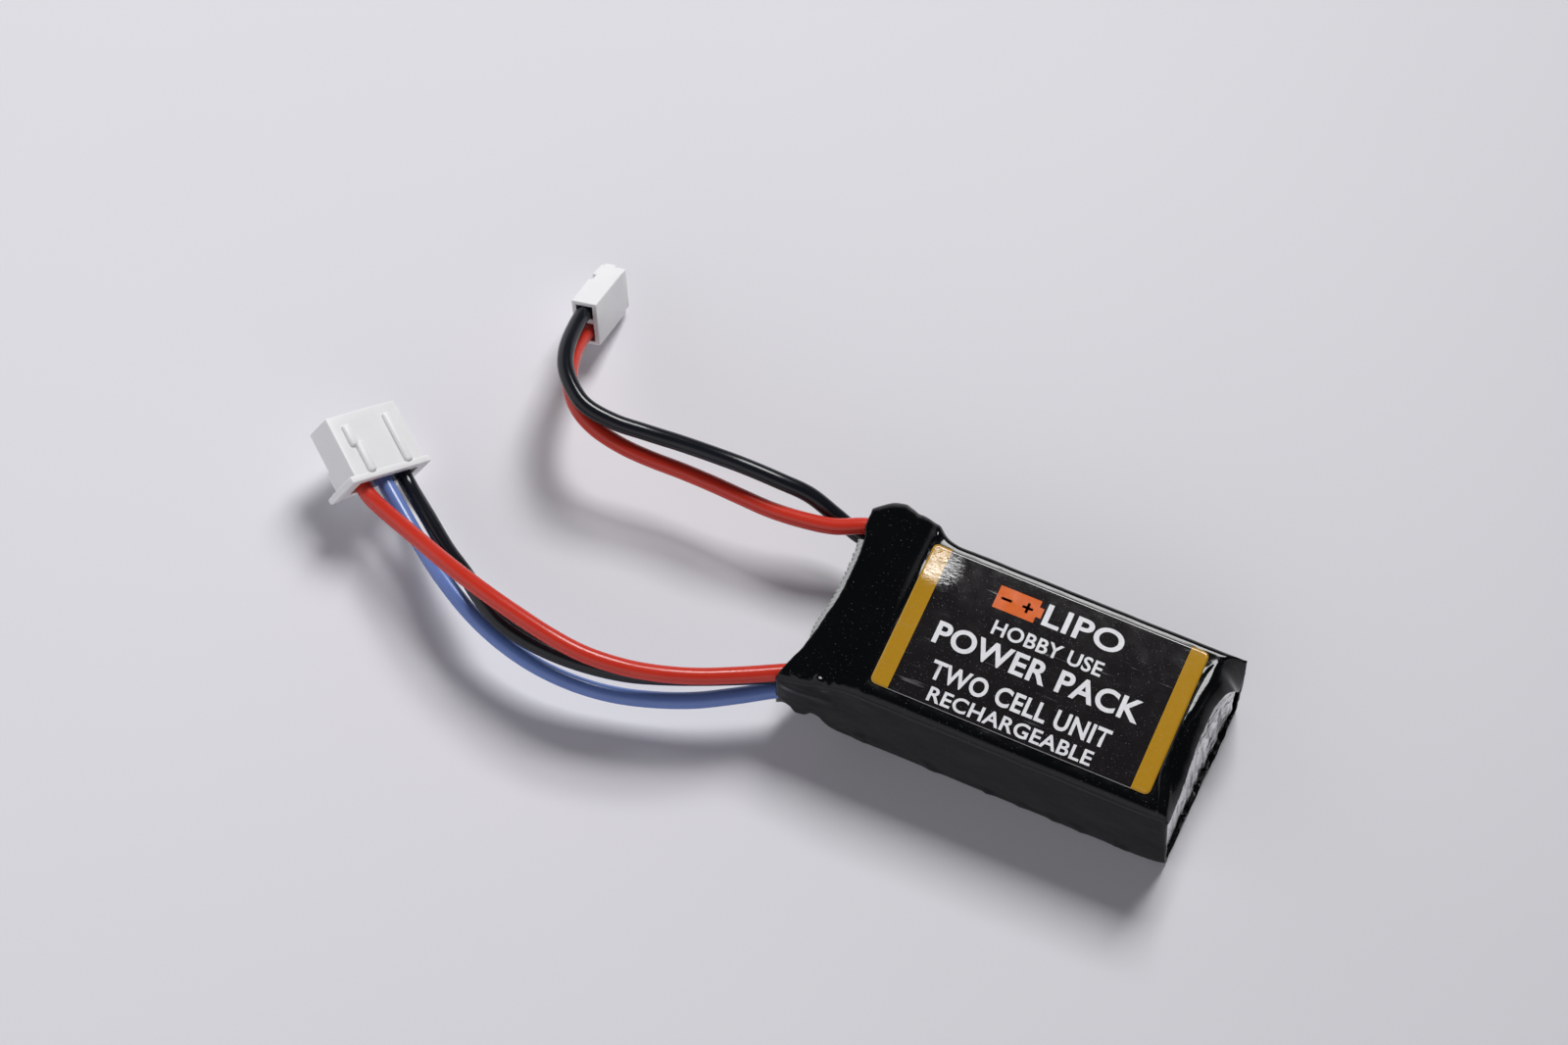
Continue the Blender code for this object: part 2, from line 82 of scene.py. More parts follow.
# Plug frames: centre of the wire-entry face, and angles. Local +X points to the nose.
BALANCE_PLACE = ((-65.85, -5.26, 5.2), dict(yaw=142.8, pitch=12.3, roll=30.9))
DISCHARGE_PLACE = ((-55.05, 19.15, 5.6), dict(yaw=89.1, pitch=-23.8, roll=-13.9))
BALANCE_PITCH, DISCHARGE_PITCH = 2.5, 2.4
# How far a wire runs straight into its plug, and straight before it
WIRE_SEAT, WIRE_LEAD_OUT = 1.3, 1.4

# Lead routes from the solder joint to the plug, as in the CAD; the second point is the exit
ROUTES = {
    "discharge_wire_red": [
        (-17.5, 9.2, 7.6), (-19.2, 8.8, 7.6), (-22.1, 7.6, 7.35), (-25.2, 7.1, 7.1),
        (-28.6, 6.9, 6.9), (-32.0, 7.05, 6.8), (-35.3, 7.2, 6.8), (-38.7, 7.2, 6.9),
        (-42.0, 7.0, 7.2), (-45.2, 6.95, 7.7), (-48.4, 7.5, 8.1), (-51.0, 8.9, 8.2),
        (-53.0, 11.4, 7.8), (-54.2, 14.4, 6.6)],
    "discharge_wire_black": [
        (-17.5, 8.5, 5.4), (-19.8, 8.6, 5.5), (-22.6, 9.2, 6.4), (-25.6, 9.5, 8.0),
        (-28.8, 9.2, 9.1), (-32.3, 9.0, 9.7), (-35.8, 8.9, 9.7), (-39.4, 8.8, 9.5),
        (-43.0, 8.5, 9.5), (-46.6, 8.1, 9.9), (-50.0, 8.5, 10.4), (-52.9, 10.9, 10.2),
        (-54.5, 14.0, 9.2)],
    "balance_wire_red": [
        (-17.5, -7.8, 8.2), (-20.6, -9.6, 8.35), (-23.9, -11.5, 8.6), (-27.3, -13.3, 8.9),
        (-30.8, -14.7, 9.2), (-34.4, -15.6, 9.4), (-38.3, -16.0, 9.7), (-42.1, -15.7, 9.9),
        (-46.1, -14.9, 9.8), (-50.1, -13.9, 9.5), (-54.3, -12.6, 8.9), (-58.4, -11.0, 7.9)],
    "balance_wire_blue": [
        (-17.5, -8.0, 4.5), (-20.4, -9.8, 4.8), (-23.9, -12.0, 4.6), (-27.4, -13.9, 4.2),
        (-31.2, -15.4, 3.9), (-35.1, -16.5, 3.8), (-39.0, -17.1, 4.1), (-43.0, -17.1, 4.5),
        (-47.0, -16.4, 4.8), (-51.0, -15.0, 4.9), (-55.0, -12.9, 4.8), (-58.8, -10.4, 4.6)],
    "balance_wire_black": [
        (-17.5, -7.9, 6.35), (-21.0, -9.3, 6.6), (-24.2, -10.9, 6.7), (-27.3, -12.4, 6.75),
        (-30.6, -13.85, 6.8), (-34.0, -15.1, 6.9), (-37.6, -15.85, 7.0), (-41.2, -16.15, 7.1),
        (-44.7, -15.95, 7.1), (-47.9, -15.2, 7.0), (-50.8, -13.6, 6.6), (-53.6, -11.6, 6.1),
        (-56.7, -9.6, 5.4), (-60.2, -6.9, 4.6)],
}

# Insulation of the leads: dark and light tone, roughness, specular level
INSULATION = {
    "red": ((0.50, 0.026, 0.014), (0.60, 0.038, 0.020), 0.19, 0.42),
    "blue": ((0.115, 0.190, 0.47), (0.145, 0.230, 0.54), 0.20, 0.42),
    "black": ((0.0060, 0.0068, 0.0095), (0.010, 0.011, 0.015), 0.15, 0.32),
}

# Film sections along the sleeve: x, near side, far side, bottom, top, and the radii of the near
# upper, the far upper and both lower corners
SLEEVE = [
    (-20.8, -10.55, 10.3, 2.9, 9.75, 0.7, 1.2, 0.7),
    (-20.0, -10.5, 11.0, 3.4, 9.85, 0.7, 1.5, 0.7),
    (-19.4, -10.45, 11.4, 3.0, 9.95, 0.7, 1.6, 0.7),
    (-18.7, -10.4, 11.7, 1.9, 10.08, 0.7, 1.7, 0.7),
    (-17.8, -10.3, 11.9, 2.0, 10.26, 0.75, 1.8, 0.7),
    (-17.0, -10.15, 11.95, 2.6, 10.43, 0.75, 1.8, 0.8),
    (-16.2, -10.0, 11.8, 2.1, 10.61, 0.8, 1.8, 0.8),
    (-15.4, -9.9, 11.55, 0.8, 10.79, 0.8, 1.7, 0.8),
    (-14.6, -9.85, 11.2, 0.2, 10.97, 0.85, 1.5, 0.8),
    (-13.8, -9.8, 11.05, 0.0, 11.15, 0.9, 1.3, 0.7),
    (-12.6, -9.8, 10.6, 0.0, 11.42, 0.9, 1.1, 0.7),
    (-11.7, -9.8, 10.2, 0.0, 11.6, 0.9, 1.0, 0.7),
    (-11.0, -9.8, 9.7, 0.0, 11.6, 1.0, 0.9, 0.7),
    (-10.2, -9.8, 9.3, 0.0, 11.6, 1.0, 0.9, 0.7),
    (-9.0, -9.8, 9.1, 0.0, 11.6, 1.0, 0.9, 0.7),
    (17.6, -9.8, 9.1, 0.0, 11.6, 1.0, 0.9, 0.7),
    (19.4, -9.75, 9.1, 0.05, 11.55, 0.9, 0.8, 0.8),
    (20.2, -9.7, 9.1, 0.15, 11.5, 0.8, 0.7, 0.9),
    (20.8, -9.65, 9.1, 0.3, 11.4, 0.7, 0.6, 0.9),
]
MOUTH_X, OPEN_X = SLEEVE[0][0], SLEEVE[-1][0]
BODY_TOP, BODY_NEAR = 11.6, -9.8
BODY_MIDDLE, BODY_HALF = -0.35, 9.45
FILM = 0.16

# Label: its end at the sleeve's open end, the glue under it, the sheet, and the height of its print
LABEL_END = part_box("label")[1].x / MM
LABEL_GLUE, LABEL_SHEET, LABEL_PRINT = 0.05, 0.07, 0.018
LABEL_CORNER, LABEL_BAND, LABEL_LINE = 0.6, 1.88, 0.07
# Where its clear film has lifted, from its lead end and far edge, and how that patch fades
HAZE_PLACE = (1.3, 2.4)
HAZE_FADE = (0.8, 2.9)


def vary(low, high, seed):
    """A repeatable number between low and high."""
    return low + (high - low) * (math.sin(seed * 12.9898 + 4.1414) * 43758.5453 % 1.0)


def clamp(value, low, high):
    return min(max(value, low), high)


def smoothstep(low, high, value):
    """Share of the way from low to high, eased at both ends; high may be the smaller one."""
    t = clamp((value - low) / (high - low), 0.0, 1.0)
    return t * t * (3 - 2 * t)


class Profile:
    """Rows of (place, value, ...) read on a smooth curve that doesn't overshoot them."""

    def __init__(self, rows):
        table = np.array(rows, float)
        self.places, self.values = table[:, 0], table[:, 1:]
        slope = np.diff(self.values, axis=0) / np.diff(self.places)[:, None]
        product = slope[:-1] * slope[1:]
        total = slope[:-1] + slope[1:]
        inner = np.where(product > 0, 2 * product / np.where(total == 0, 1.0, total), 0.0)
        self.slopes = np.vstack([slope[:1], inner, slope[-1:]])

    def __call__(self, place):
        place = clamp(place, self.places[0], self.places[-1])
        k = clamp(int(np.searchsorted(self.places, place)) - 1, 0, len(self.places) - 2)
        span = self.places[k + 1] - self.places[k]
        t = (place - self.places[k]) / span
        a, b = self.values[k], self.values[k + 1]
        ma, mb = self.slopes[k] * span, self.slopes[k + 1] * span
        return (a * (1 + 2 * t) * (1 - t) ** 2 + ma * t * (1 - t) ** 2
                + b * t * t * (3 - 2 * t) + mb * t * t * (t - 1))


def wander(x, y, z, scale, seed=0.0):
    """Smooth noise from -1 to 1, with features about 1 / scale mm across."""
    return noise.noise(Vector((x * scale + seed, y * scale - seed, z * scale + 2 * seed)))


# --- materials

def shader_nodes(name):
    """New material, with its node tree and its shader."""
    material = bpy.data.materials.new(name)
    material.use_nodes = True
    tree = material.node_tree
    return material, tree, tree.nodes["Principled BSDF"]


def add_node(tree, kind, **values):
    """Node of that kind; a value whose name is an input sets the input, others set the node."""
    node = tree.nodes.new(kind)
    for key, value in values.items():
        if key in node.inputs:
            node.inputs[key].default_value = value
        else:
            setattr(node, key, value)
    return node


def feed(tree, socket, value):
    """Links the socket to another one, or sets it to a number or a colour."""
    if isinstance(value, bpy.types.NodeSocket):
        tree.links.new(value, socket)
    else:
        socket.default_value = (*value, 1.0) if isinstance(value, tuple) else value


def dress(tree, shader, colour, roughness, normal, specular=0.5, metallic=0.0):
    """Feeds the inputs of a piece's shader."""
    for key, value in (("Base Color", colour), ("Roughness", roughness), ("Normal", normal),
                       ("Specular IOR Level", specular), ("Metallic", metallic)):
        feed(tree, shader.inputs[key], value)


def split_place(tree, output="Object"):
    """X, Y and Z of the place, each as a socket."""
    place = add_node(tree, "ShaderNodeTexCoord")
    split = add_node(tree, "ShaderNodeSeparateXYZ")
    tree.links.new(place.outputs[output], split.inputs["Vector"])
    return split.outputs


def noise_nodes(tree, size_mm, detail=3.0, rough=0.5, stretch=(1, 1, 1), turn=(0, 0, 0)):
    """Noise on the object's coordinates, with features of about size_mm."""
    place = add_node(tree, "ShaderNodeTexCoord")
    mapping = add_node(tree, "ShaderNodeMapping", Scale=tuple(s / (size_mm * MM) for s in stretch),
                       Rotation=tuple(math.radians(a) for a in turn))
    tree.links.new(place.outputs["Object"], mapping.inputs["Vector"])
    texture = add_node(tree, "ShaderNodeTexNoise", Detail=detail, Roughness=rough, Scale=1.0)
    tree.links.new(mapping.outputs["Vector"], texture.inputs["Vector"])
    return texture.outputs["Fac"]


def spread_nodes(tree, source, low, high, to_low, to_high):
    """Maps source from low..high to to_low..to_high, held at the ends."""
    mapper = add_node(tree, "ShaderNodeMapRange")
    for key, value in (("Value", source), ("From Min", low), ("From Max", high),
                       ("To Min", to_low), ("To Max", to_high)):
        feed(tree, mapper.inputs[key], value)
    return mapper.outputs["Result"]


def math_nodes(tree, operation, first, second=0.0, third=0.0):
    """Sum of that kind over numbers or sockets."""
    node = add_node(tree, "ShaderNodeMath", operation=operation)
    for socket, value in zip(node.inputs, (first, second, third)):
        feed(tree, socket, value)
    return node.outputs[0]


def mix_nodes(tree, share, first, second):
    """Colour between first and second, each a colour or a socket."""
    mixer = add_node(tree, "ShaderNodeMix", data_type="RGBA")
    for index, value in ((0, share), (6, first), (7, second)):
        feed(tree, mixer.inputs[index], value)
    return mixer.outputs[2]


def bump_nodes(tree, height, depth_mm, below=None):
    """Bump of that depth, on top of another bump if one is given."""
    bump = add_node(tree, "ShaderNodeBump", Strength=1.0, Distance=depth_mm * MM)
    tree.links.new(height, bump.inputs["Height"])
    if below is not None:
        tree.links.new(below, bump.inputs["Normal"])
    return bump.outputs["Normal"]


def film_material():
    """Glossy black shrink film: faint ripples, dust and fine rubbed patches."""
    material, tree, shader = shader_nodes("black_heat_shrink")
    cloud = noise_nodes(tree, 6.0)
    base = mix_nodes(tree, cloud, (0.0018, 0.0021, 0.0025), (0.0032, 0.0036, 0.0042))
    dust = spread_nodes(tree, noise_nodes(tree, 0.16, 1.0), 0.735, 0.76, 0.0, 0.5)
    rubbed = spread_nodes(tree, noise_nodes(tree, 2.2, 5.0, 0.6), 0.35, 0.75, 0.06, 0.16)
    ripple = bump_nodes(tree, noise_nodes(tree, 1.3, 2.0), 0.010)
    skin = bump_nodes(tree, noise_nodes(tree, 0.25, 2.0), 0.0012, ripple)
    dress(tree, shader, mix_nodes(tree, dust, base, (0.16, 0.16, 0.17)), rubbed, skin, 0.28)
    return material


def label_material(low, high):
    """Printed label: gold bands and white hairlines on black, under a scratched clear film.

    low and high are the label's corners in metres.
    """
    material, tree, shader = shader_nodes("label_print")
    x, y, _ = split_place(tree)
    edges = []
    for axis, index, width in ((x, 0, LABEL_BAND * MM), (y, 1, LABEL_LINE * MM)):
        start = math_nodes(tree, "LESS_THAN", axis, low[index] + width)
        end = math_nodes(tree, "GREATER_THAN", axis, high[index] - width)
        edges.append(math_nodes(tree, "ADD", start, end))
    gold, hair = edges
    grain = noise_nodes(tree, 0.35, 3.0)
    black = mix_nodes(tree, grain, (0.0075, 0.0066, 0.0072), (0.0125, 0.0105, 0.0115))
    yellow = mix_nodes(tree, grain, (0.375, 0.195, 0.011), (0.425, 0.228, 0.017))
    colour = mix_nodes(tree, hair, black, (0.26, 0.25, 0.26))
    colour = mix_nodes(tree, gold, colour, yellow)
    scratches = None
    for turn, stretch, size_mm in ((20.0, 0.05, 0.30), (-35.0, 0.06, 0.34), (75.0, 0.05, 0.27)):
        fine = noise_nodes(tree, size_mm, 1.0, 0.5, (stretch, 1.0, 1.0), (0.0, 0.0, turn))
        lines = spread_nodes(tree, fine, 0.70, 0.78, 0.0, 1.0)
        scratches = lines if scratches is None else math_nodes(tree, "MAXIMUM", scratches, lines)
    patches = spread_nodes(tree, noise_nodes(tree, 5.0, 2.0), 0.50, 0.66, 0.0, 1.0)
    scratches = math_nodes(tree, "MULTIPLY", scratches, patches)
    specks = spread_nodes(tree, noise_nodes(tree, 0.13, 0.0), 0.78, 0.80, 0.0, 0.30)
    marks = math_nodes(tree, "MAXIMUM", math_nodes(tree, "MULTIPLY", scratches, 0.10), specks)
    colour = mix_nodes(tree, marks, colour, (0.42, 0.43, 0.47))
    haze = spread_nodes(tree, noise_nodes(tree, 1.6, 5.0, 0.65), 0.4, 0.75, 0.05, 0.085)
    haze = math_nodes(tree, "ADD", haze, math_nodes(tree, "MULTIPLY", scratches, 0.12))
    off_x = math_nodes(tree, "SUBTRACT", x, low[0] + HAZE_PLACE[0] * MM)
    off_y = math_nodes(tree, "SUBTRACT", y, high[1] - HAZE_PLACE[1] * MM)
    squares = math_nodes(tree, "ADD", math_nodes(tree, "MULTIPLY", off_x, off_x),
                         math_nodes(tree, "MULTIPLY", off_y, off_y))
    reach = math_nodes(tree, "SQRT", squares)
    patch = spread_nodes(tree, reach, HAZE_FADE[0] * MM, HAZE_FADE[1] * MM, 1.0, 0.0)
    mottle = spread_nodes(tree, noise_nodes(tree, 0.42, 5.0, 0.65), 0.42, 0.60, 0.0, 0.22)
    roughness = math_nodes(tree, "MULTIPLY_ADD", patch, mottle, haze)
    ripple = bump_nodes(tree, noise_nodes(tree, 2.4, 1.0), 0.002)
    cut = bump_nodes(tree, scratches, -0.0012, ripple)
    lifted = math_nodes(tree, "MULTIPLY", patch, noise_nodes(tree, 0.45, 3.0, 0.6))
    dress(tree, shader, colour, roughness, bump_nodes(tree, lifted, 0.03, cut))
    return material


def ink_material(name, thin, full):
    """Print with a slightly uneven tone."""
    material, tree, shader = shader_nodes(name)
    tone = spread_nodes(tree, noise_nodes(tree, 0.5, 4.0), 0.3, 0.7, 0.0, 1.0)
    gloss = spread_nodes(tree, noise_nodes(tree, 1.6, 4.0), 0.3, 0.7, 0.06, 0.12)
    ripple = bump_nodes(tree, noise_nodes(tree, 1.1, 3.0), 0.001)
    dress(tree, shader, mix_nodes(tree, tone, thin, full), gloss, ripple)
    return material


def foil_material():
    """Pouch foil: bright aluminium under nylon, with fine rolling lines, small creases and dark slanting
    streaks of painted shade along them.
    """
    material, tree, shader = shader_nodes("pouch_foil")
    cloud = noise_nodes(tree, 1.2, 4.0)
    skin = mix_nodes(tree, cloud, (0.86, 0.87, 0.88), (0.95, 0.955, 0.96))
    # Painted shade: dark slanting streaks stand in for the shade in the foil's creases
    lines = noise_nodes(tree, 0.75, 1.0, 0.5, (0.3, 1.0, 0.13), (8.0, 0.0, 0.0))
    painted_crease_shade = spread_nodes(tree, lines, 0.54, 0.66, 0.0, 0.7)
    crease = bump_nodes(tree, noise_nodes(tree, 1.0, 2.0, 0.5, (0.4, 1.0, 0.3)), 0.02)
    rolled = bump_nodes(tree, noise_nodes(tree, 0.2, 2.0, 0.5, (0.08, 1.0, 1.0)), 0.002, crease)
    dress(tree, shader, mix_nodes(tree, painted_crease_shade, skin, (0.12, 0.12, 0.13)),
          spread_nodes(tree, cloud, 0.3, 0.7, 0.22, 0.4), rolled, metallic=0.9)
    return material


def insulation_material(name, dark, light, rough, specular):
    """Soft wire insulation: slow change of tone along it, and a faint extrusion grain."""
    material, tree, shader = shader_nodes(name)
    tone = noise_nodes(tree, 4.0, 3.0)
    gloss = spread_nodes(tree, noise_nodes(tree, 2.6, 3.0), 0.3, 0.7, rough, rough + 0.08)
    grain = bump_nodes(tree, noise_nodes(tree, 0.5, 2.0), 0.0010)
    dress(tree, shader, mix_nodes(tree, tone, dark, light), gloss, grain, specular)
    shader.inputs["Subsurface Weight"].default_value = 0.05
    shader.inputs["Subsurface Radius"].default_value = (0.0006, 0.0002, 0.0002)
    return material


def moulded_material(name, dark, light, rough, grain_mm=0.18, sub=0.0):
    """Moulded plastic with a fine spark-eroded grain."""
    material, tree, shader = shader_nodes(name)
    tone = noise_nodes(tree, 2.5, 3.0)
    gloss = spread_nodes(tree, noise_nodes(tree, 0.8, 4.0), 0.3, 0.7, rough - 0.05, rough + 0.08)
    flow = bump_nodes(tree, noise_nodes(tree, 1.6, 2.0), 0.006)
    grain = bump_nodes(tree, noise_nodes(tree, grain_mm, 2.0), 0.0018, flow)
    dress(tree, shader, mix_nodes(tree, tone, dark, light), gloss, grain)
    shader.inputs["Subsurface Weight"].default_value = sub
    shader.inputs["Subsurface Radius"].default_value = (0.0020,) * 3
    return material


def metal_material(name, dark, light, rough, stretch=(1, 1, 1)):
    """Bare metal with drawn lines or a mottled skin, by its stretch."""
    material, tree, shader = shader_nodes(name)
    tone = noise_nodes(tree, 0.8, 4.0, 0.6, stretch)
    gloss = spread_nodes(tree, tone, 0.3, 0.7, rough - 0.06, rough + 0.12)
    grain = bump_nodes(tree, noise_nodes(tree, 0.15, 3.0, 0.5, stretch), 0.003)
    dress(tree, shader, mix_nodes(tree, tone, dark, light), gloss, grain, metallic=1.0)
    return material


def paper_material(name, dark, light, fibre_mm=0.25):
    """Fibrous tape or paper."""
    material, tree, shader = shader_nodes(name)
    fibres = noise_nodes(tree, fibre_mm, 5.0, 0.7, (0.3, 1.0, 1.0), (0.0, 35.0, 20.0))
    dress(tree, shader, mix_nodes(tree, fibres, dark, light), 0.75, bump_nodes(tree, fibres, 0.02))
    return material


# --- mesh helpers

SQUARE = ((-1, -1), (1, -1), (1, 1), (-1, 1))


def put(name, data):
    """New object in the scene."""
    thing = bpy.data.objects.new(name, data)
    bpy.context.scene.collection.objects.link(thing)
    return thing


def add_piece(name, data, material):
    """Piece of one material in its material slot, riding on the one body."""
    data.materials.append(material)
    piece = put(name, data)
    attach(piece, "root")
    return piece


def thicken(piece, name, thickness, offset):
    """Gives a skin its thickness: inwards at offset -1, outwards at 1."""
    modifier = piece.modifiers.new(name, "SOLIDIFY")
    modifier.thickness = thickness * MM
    modifier.offset = offset


def add_mesh(name, points, faces, material, sharp=180.0):
    """Mesh piece from points in millimetres, sharp at edges over that angle in degrees."""
    mesh = bpy.data.meshes.new(name)
    mesh.from_pydata([tuple(c * MM for c in p) for p in points], [], faces)
    mesh.shade_smooth()
    mesh.set_sharp_from_angle(angle=math.radians(sharp))
    return add_piece(name, mesh, material)


def strip_faces(rows, count, closed=True):
    """Quads between rows of count points; the rows' first points line up."""
    faces = []
    for k in range(rows - 1):
        for i in range(count if closed else count - 1):
            j = (i + 1) % count
            faces.append((k * count + i, k * count + j, (k + 1) * count + j, (k + 1) * count + i))
    return faces


def plug_matrix(entry, turn):
    """Place of a plug in the frame; pitch lifts its nose."""
    place = Matrix.Translation(Vector(entry))
    for key, sign, axis in (("yaw", 1, "Z"), ("pitch", -1, "Y"), ("roll", 1, "X")):
        place = place @ Matrix.Rotation(math.radians(sign * turn[key]), 4, axis)
    return place


# --- leads

def smooth_route(points):
    """Points LEAD_STEP apart on a Catmull-Rom curve through the route's points, and its length."""
    path = [Vector(p) for p in points]
    path = [path[0] * 2 - path[1]] + path + [path[-1] * 2 - path[-2]]
    dense = []
    for p0, p1, p2, p3 in zip(path, path[1:], path[2:], path[3:]):
        for t in np.linspace(0.0, 1.0, 40, endpoint=False):
            a = p1 * 2 + (p2 - p0) * t
            b = (p0 * 2 - p1 * 5 + p2 * 4 - p3) * t * t
            c = (p1 * 3 - p0 - p2 * 3 + p3) * t * t * t
            dense.append((a + b + c) / 2)
    dense.append(path[-2])
    lengths = [(b - a).length for a, b in zip(dense, dense[1:])]
    travelled = np.concatenate([[0.0], np.cumsum(lengths)])
    count = round(travelled[-1] / LEAD_STEP)
    targets = np.linspace(0.0, travelled[-1], count + 1)
    places = np.stack([np.interp(targets, travelled, axis) for axis in np.array(dense).T], -1)
    return places, travelled[-1]


def add_lead(node, row, plug, material):
    """Insulated wire along its route into the plug; row is its y and z in the plug's own frame."""
    seat = [tuple(plug_matrix(*plug) @ Vector((x, *row))) for x in (-WIRE_LEAD_OUT, WIRE_SEAT)]
    places, length = smooth_route(ROUTES[node] + seat)
    curve = bpy.data.curves.new(node + "_insulation", "CURVE")
    curve.dimensions = "3D"
    curve.bevel_depth = LEAD_DIAMETER / 2 * MM
    curve.bevel_resolution = 6
    curve.use_fill_caps = True
    spline = curve.splines.new("POLY")
    spline.points.add(len(places) - 1)
    for point, place in zip(spline.points, places):
        point.co = (*(place * MM), 1.0)
    spline.use_smooth = True
    piece = add_piece(node + "_insulation", curve, material)
    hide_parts(node)


# --- sleeve

SLEEVE_AT = Profile(SLEEVE)
CORNER_STEPS = 12

# The mouth at the lead end: how far its edge is cut back, across the pack: y, cut
MOUTH = Profile([
    (-10.6, 0.55), (-10.2, 0.6), (-9.2, 0.85), (-6.6, 1.75), (-3.5, 2.3), (0.7, 2.8), (4.0, 2.75),
    (6.3, 2.5), (8.0, 2.0), (9.8, 1.9), (11.6, 1.7)])
# From here to MOUTH_X the flared head's rings take on the mouth's cut
CUT_START = -13.0
# Past here, to the lead end, the top slopes down with the sections
HEAD_X = -11.0

# The open end. Past FOLD_START the rings take on its shape.
FOLD_START = 16.6
# Where the folded top film ends, across the pack: y, x, z
LIP = Profile([
    (-9.7, 20.15, 10.9), (-9.1, 20.16, 10.6), (-6.9, 20.1, 10.5), (-3.9, 19.92, 10.5),
    (-0.2, 19.67, 10.42), (2.8, 19.7, 10.35), (5.13, 20.17, 10.2), (6.55, 20.78, 9.0),
    (7.75, 21.1, 6.9), (8.5, 21.1, 7.5), (9.1, 20.95, 11.2)])
# Where the top film starts to turn down: y, x; FOLD_POWER shapes its drop to the lip
CREASE = Profile([
    (-9.8, 19.7), (-7.95, 19.2), (-5.2, 18.3), (-2.3, 17.95), (0.0, 17.95), (2.1, 18.3),
    (4.6, 18.4), (7.3, 18.3), (8.4, 19.0), (8.9, 20.0), (9.1, 20.6)])
FOLD_POWER = 1.6
FOLD_LEAST = 0.3
# The raised crest along it: y and height
CREST_HEIGHT = ((-9.0, -6.0, 0.3, 8.2), (0.10, 0.22, 0.40, 0.0))
# Where the near wall (z, x), the far wall (z, x) and the bottom (y, x) end
NEAR_END = Profile([(0.0, 20.85), (4.0, 20.6), (8.0, 20.25), (11.6, 20.05)])
FAR_END = Profile([(0.0, 21.15), (4.0, 21.15), (8.0, 21.05), (11.6, 20.85)])
BOTTOM_END = Profile([(-9.8, 20.8), (-5.0, 20.85), (0.0, 21.0), (5.5, 21.2), (9.1, 21.2)])
# Ridge over the cells' edge, in two waves: height, x, half width
RIDGES = ((0.16, -11.7, 0.6), (0.04, -10.6, 1.4))
# Bulge under the label's lifted corner: its place and half width, in x and in y
LIFTED_X, LIFTED_Y = (-11.0, 1.8), (3.9, 1.8)
# Small tongues of the bottom film that stand up over the foil: y, half width, height
BOTTOM_TONGUES = [(0.6, 0.6, 1.5), (-4.8, 0.7, 1.2), (6.9, 0.5, 0.8)]

# Small folds in the film: start, end, half width, height. A fold is felt within FOLD_REACH in x.
FOLD_REACH = 5.0
FOLDS = [
    ((-19.4, -9.75, 9.9), (-18.7, -9.85, 10.0), 0.20, 0.10),
    ((-16.8, -9.35, 10.45), (-16.4, -9.6, 10.5), 0.28, 0.18),
    ((-15.6, -9.9, 9.6), (-15.3, -9.8, 10.5), 0.30, 0.16),
    ((-14.6, -9.3, 10.95), (-14.4, -9.4, 11.0), 0.16, 0.08),
    ((-12.0, 9.8, 10.9), (-11.6, 8.9, 11.5), 0.30, 0.14),
    ((-19.4, -10.5, 8.2), (-15.6, -10.0, 7.4), 0.7, 0.10),
]
# Beads along the crest
for k in range(22):
    side = -8.6 + 17.0 * k / 21
    crest = max(CREASE(side)[0], LABEL_END + 0.9)
    FOLDS.append(((crest - vary(0.4, 0.6, k + 40), side, BODY_TOP),
                  (crest - vary(0.3, 0.4, k + 80), side + vary(-0.3, 0.3, k), BODY_TOP - 0.1),
                  vary(0.10, 0.16, k + 120), 0.016 * vary(-0.7, 1.0, k + 160)))
# Puckers along the foot of the near wall
for k in range(17):
    along = vary(-12.5, 19.5, k + 200)
    FOLDS.append(((along, BODY_NEAR, 0.1),
                  (along + vary(-0.5, 0.5, k + 220), BODY_NEAR, vary(0.7, 1.8, k + 240)),
                  vary(0.25, 0.5, k + 260), vary(0.03, 0.10, k + 280)))
FOLD_TABLE = [(np.array(a), np.array(b), w, h) for a, b, w, h in FOLDS]


def fold_height(x, y, z):
    """Sum of the small folds at a point of the film."""
    place = np.array((x, y, z))
    total = 0.0
    for start, end, width, height in FOLD_TABLE:
        if abs(x - start[0]) > FOLD_REACH:
            continue
        along = end - start
        t = clamp(np.dot(place - start, along) / np.dot(along, along), 0.0, 1.0)
        off = place - start - along * t
        total += height * math.exp(-np.dot(off, off) / (width * width))
    return total


def bell(value, centre, width):
    """Height of a smooth bump, 1 at its centre."""
    return math.exp(-((value - centre) / width) ** 2)


def top_relief(x, y):
    """Height of the top film over its nominal plane: rounded edges, ridge, bulge, crest, slight waves."""
    across = (y - BODY_MIDDLE) / BODY_HALF
    relief = -14.0 * max(0.0, across - 0.91) ** 2 - 4.0 * max(0.0, -across - 0.84) ** 2
    relief *= smoothstep(-12.0, -10.4, x)
    far_share = smoothstep(-5.0, 8.0, y)
    relief += sum(height * bell(x, *ridge) for height, *ridge in RIDGES) * (0.2 + 0.8 * far_share)
    relief += 0.12 * bell(x, *LIFTED_X) * bell(y, *LIFTED_Y)
    crest = np.interp(y, *CREST_HEIGHT)
    back = x - CREASE(y)[0] - 0.12 * wander(0.0, y, 0.0, 0.9, 31.0)
    rise = smoothstep(-0.95, -0.6, back) * smoothstep(LABEL_END, LABEL_END + 0.4, x)
    relief += crest * (rise * (1.0 - smoothstep(-0.15, 0.9, back)))
    return relief + 0.01 * wander(x, y, 0.0, 0.35) * smoothstep(15.0, 18.0, x)


